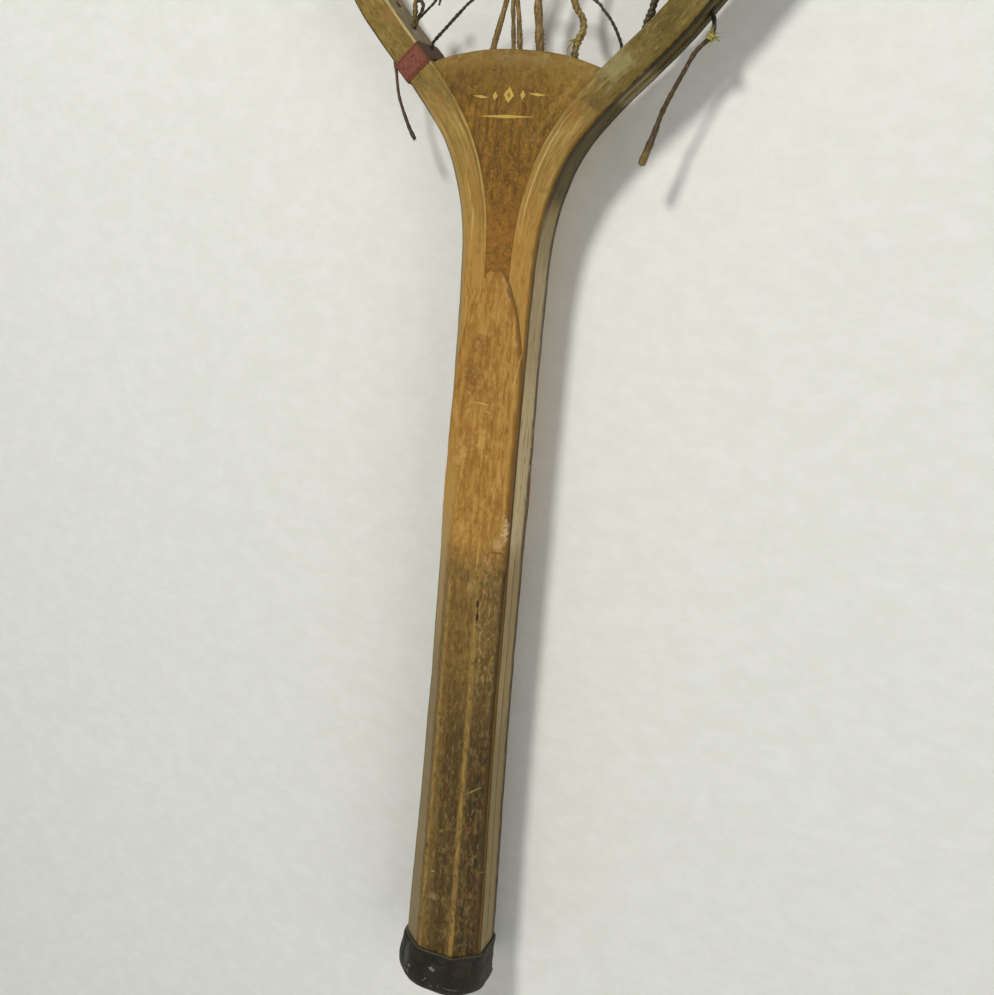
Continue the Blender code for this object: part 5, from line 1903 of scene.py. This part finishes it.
    def short_span(self, hole: tuple[int, Side], loose: Sequence[Sequence[float]]) -> list[Vector]:
        """Broken span from its hole at the top down through the crossing strings to a loose end."""
        woven = self.woven_main(hole)
        end = [woven[0] + Vector((across * MM, 0.0, rise * MM)) for across, rise in reversed(loose)]
        return smooth_route([*end, *woven], self.route_step * 0.4)

    def short_mains(self) -> None:
        """A pair of broken main strings on each side, joined over the hoop."""
        for side in Side:
            outer, inner = (self.short_span((index, side), loose)
                            for index, loose in zip((3, 2), self.short_ends[side]))
            route = outer + self.loop_over(3, 2, side) + list(reversed(inner))
            label = side.name.lower()
            strand = Strand(f"short_strings_{label}", route, (0.7, 0.7), seed=20 + side.value)
            dress(strand.build(), self.gut, "gut", f"short_main_strings_{label}")

    def crosses(self) -> None:
        """Cross strings in pairs, each pair one length of string turned back in the hoop's groove."""
        for number, (first, second) in enumerate(zip(self.cross_holes[::2], self.cross_holes[1::2]), 1):
            side, far = (Side.RIGHT, Side.LEFT) if number % 2 else (Side.LEFT, Side.RIGHT)
            out, back = self.woven_cross(first), self.woven_cross(second)
            if side is Side.RIGHT:
                back.reverse()
            else:
                out.reverse()
            start = self.outline.hole(first, far, -0.0035)
            stop = self.outline.hole(second, far, -0.0035)
            out = smooth_route(out, self.route_step * 0.4)
            back = smooth_route(back, self.route_step * 0.4)
            route = [start, *out, *self.loop_over(first, second, side), *back, stop]
            strand = Strand(f"crossing_strings_{number}", route, (0.7, 0.7), seed=30 + number)
            dress(strand.build(), self.gut, "gut", f"cross_strings_{number}")

    def remains(self) -> None:
        """Broken strings near the throat: a slack arch, stubs and a tuft."""
        outline = self.outline
        lowest, second = outline.sizes.holes_per_side - 1, outline.sizes.holes_per_side - 2
        width = outline.width(outline.run_at(outline.sizes.crown_height))
        inward = (-width * 0.4, -width - self.hole_exit)
        left = [outline.hole(lowest, Side.LEFT, offset) for offset in inward]
        right = [outline.hole(lowest, Side.RIGHT, offset) for offset in inward]
        arch = smooth_route([left[1], *self.over_crown(self.arch), right[1]], self.route_step * 0.4)
        fine = self.route_step * 0.25
        for name, node, route, radii in (
                ("slack_arch", "arch_string", [left[0], *arch, right[0]], (0.58, 0.55)),
                ("twisted_remnant", "broken_main_string", smooth_route(self.over_crown(self.slack_5), fine),
                 self.broken_radii),
                ("knotted_stub", "knotted_string",
                 self.from_hole(second, Side.RIGHT, 0.0, inward, self.knotted), self.knotted_radii),
                ("tuft_loop", "tuft_loop_string",
                 self.from_hole(second, Side.LEFT, -self.tuft_spread, inward, self.tuft_loop),
                 self.tuft_loop_radii),
                ("tuft_end", "tuft_strand",
                 self.from_hole(second, Side.LEFT, self.tuft_spread, inward, self.tuft_strand),
                 self.tuft_strand_radii)):
            strand = Strand(name, route, radii, plies=2, pitch=4.0, ply_depth=0.3, unevenness=0.25, step=0.5,
                            sides=14, seed=len(name))
            if name == "twisted_remnant":
                dress(strand.build(), self.gut, "gut", node)
            else:
                dress(strand.build(), self.dark_gut, "dark_gut", node)
        foot, bend, tip = self.over_crown(((20.4, -1.0, 4.6), (18.2, -1.4, 1.6), (17.9, -1.2, -1.4)))
        wisp = Strand("remnant_wisp", smooth_route([foot, bend, tip], 0.5 * MM), (0.3, 0.3, 0.2), plies=1,
                      ply_depth=0.0, step=0.6, sides=6)
        loose = fray("remnant", foot, Vector((-0.6, -0.6, -0.6)), 6, 3.4, 0.6, 0.16, 21)
        dress(join("remnant_fibres", [wisp.build(), *loose]), self.pale_gut, "gut")


@dataclass
class Viewpoint:
    """Camera at the photograph's viewing angle: left of straight ahead, a little above, rolled slightly."""

    place: tuple[float, float, float] = (0.17565, -0.41537, 0.34993)
    right: tuple[float, float, float] = (0.91290061, 0.39989541, 0.08182994)
    up: tuple[float, float, float] = (-0.17732712, 0.20797357, 0.96192624)
    ahead: tuple[float, float, float] = (-0.36765142, 0.89265371, -0.2607715)
    image_height: int = 995
    focal_pixels: float = 1126.667
    sensor: float = 36.0

    def build(self) -> None:
        """Makes the camera and sets it as the scene's."""
        data = bpy.data.cameras.new("viewpoint")
        data.sensor_width = self.sensor
        data.lens = self.focal_pixels / self.image_height * self.sensor
        data.clip_start, data.clip_end = 0.01, 20.0
        camera = bpy.data.objects.new("viewpoint", data)
        axes = Matrix((self.right, self.up, tuple(-value for value in self.ahead)))
        camera.matrix_world = Matrix.Translation(self.place) @ axes.transposed().to_4x4()
        bpy.context.scene.collection.objects.link(camera)
        bpy.context.scene.camera = camera


@dataclass
class Lamp:
    """Soft studio lamp aimed at the throat."""

    name: str
    place: tuple[float, float, float]
    size: float
    power: float
    colour: str = "#ffffff"
    aim: tuple[float, float, float] = (0.0, 0.0, 0.3)

    def build(self) -> None:
        """Makes the lamp."""
        data = bpy.data.lights.new(self.name, "AREA")
        data.shape = "DISK"
        data.size = self.size
        data.energy = self.power
        data.color = srgb(self.colour)[:3]
        lamp = bpy.data.objects.new(self.name, data)
        lamp.location = self.place
        toward = Vector(self.aim) - Vector(self.place)
        lamp.rotation_mode = "QUATERNION"
        lamp.rotation_quaternion = toward.to_track_quat("-Z", "Y")
        bpy.context.scene.collection.objects.link(lamp)


@dataclass
class Studio:
    """Pale wall that the racket hangs on, pale floor below, soft lamps and a pale world."""

    wall_depth: float = 0.0215
    wall_half_width: float = 2.2
    wall_top: float = 2.4
    floor_height: float = -0.22
    floor_reach: float = 4.0
    world_colour: str = BACKDROP
    world_strength: float = 0.28

    def build(self) -> None:
        """Makes the wall, the floor, the lamps and the world."""
        bpy.context.scene.view_settings.view_transform = "Standard"
        plaster = LimewashedPlaster()
        wall = self._panel("wall", [(-self.wall_half_width, self.wall_depth, self.floor_height),
                                    (self.wall_half_width, self.wall_depth, self.floor_height),
                                    (self.wall_half_width, self.wall_depth, self.wall_top),
                                    (-self.wall_half_width, self.wall_depth, self.wall_top)])
        wall.data.materials.append(plaster.build(one_sided=True))
        wall.visible_shadow = False
        wall.visible_diffuse = False
        reach = self.floor_reach
        floor = self._panel("floor", [(-reach, -reach, self.floor_height), (reach, -reach, self.floor_height),
                                      (reach, reach, self.floor_height), (-reach, reach, self.floor_height)])
        floor.data.materials.append(LimewashedPlaster("pale_floor", "#d6d6d1", 0.15).build(one_sided=False))
        for lamp in (Lamp("key_lamp", (-0.30, -1.20, 1.12), 0.26, 17.0, "#fffdf9"),
                     Lamp("fill_lamp", (1.25, -0.95, 0.35), 1.0, 7.4, "#fffdf9"),
                     Lamp("back_left_lamp", (-0.8, 1.1, 0.8), 0.9, 8.0),
                     Lamp("back_right_lamp", (0.9, 1.1, 0.6), 0.9, 6.0)):
            lamp.build()
        self._world()

    @staticmethod
    def _panel(name: str, corners: list[tuple[float, float, float]]) -> bpy.types.Object:
        """One flat face through four corners."""
        mesh = bpy.data.meshes.new(name)
        mesh.from_pydata(corners, [], [(0, 1, 2, 3)])
        item = bpy.data.objects.new(name, mesh)
        bpy.context.scene.collection.objects.link(item)
        return item

    def _world(self) -> None:
        """Pale even world, dimmer as a light than as a background."""
        world = bpy.data.worlds.new("studio")
        bpy.context.scene.world = world
        world.use_nodes = True
        tree = world.node_tree
        ground = tree.nodes["Background"]
        ground.inputs[0].default_value = srgb(self.world_colour)
        seen = add_node(tree, "LightPath").outputs["Is Camera Ray"]
        strength = add_node(tree, "MapRange", {0: seen, 3: self.world_strength, 4: 1.0})
        tree.links.new(strength.outputs[0], ground.inputs[1])


def report_size() -> None:
    """Updates the view layer."""
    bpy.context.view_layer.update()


def main() -> None:
    """Builds the racket's visible pieces and the studio round them."""
    logging.basicConfig(level=logging.INFO, format="%(name)s: %(message)s")
    outline = Outline(RacketSizes())
    strings = Strings(outline)
    Viewpoint().build()
    strings.tails()
    Studio().build()
    BentStrip(outline).build()
    Wedge(outline, strings).build()
    slabs = [HandleSlab(outline, face) for face in Face]
    for slab in slabs:
        slab.build()
    ButtBand(outline, slabs[0]).build()
    ShoulderBinding(outline).build()
    strings.long_mains()
    strings.short_mains()
    strings.crosses()
    strings.remains()
    report_size()


if __name__ == "__main__":
    main()
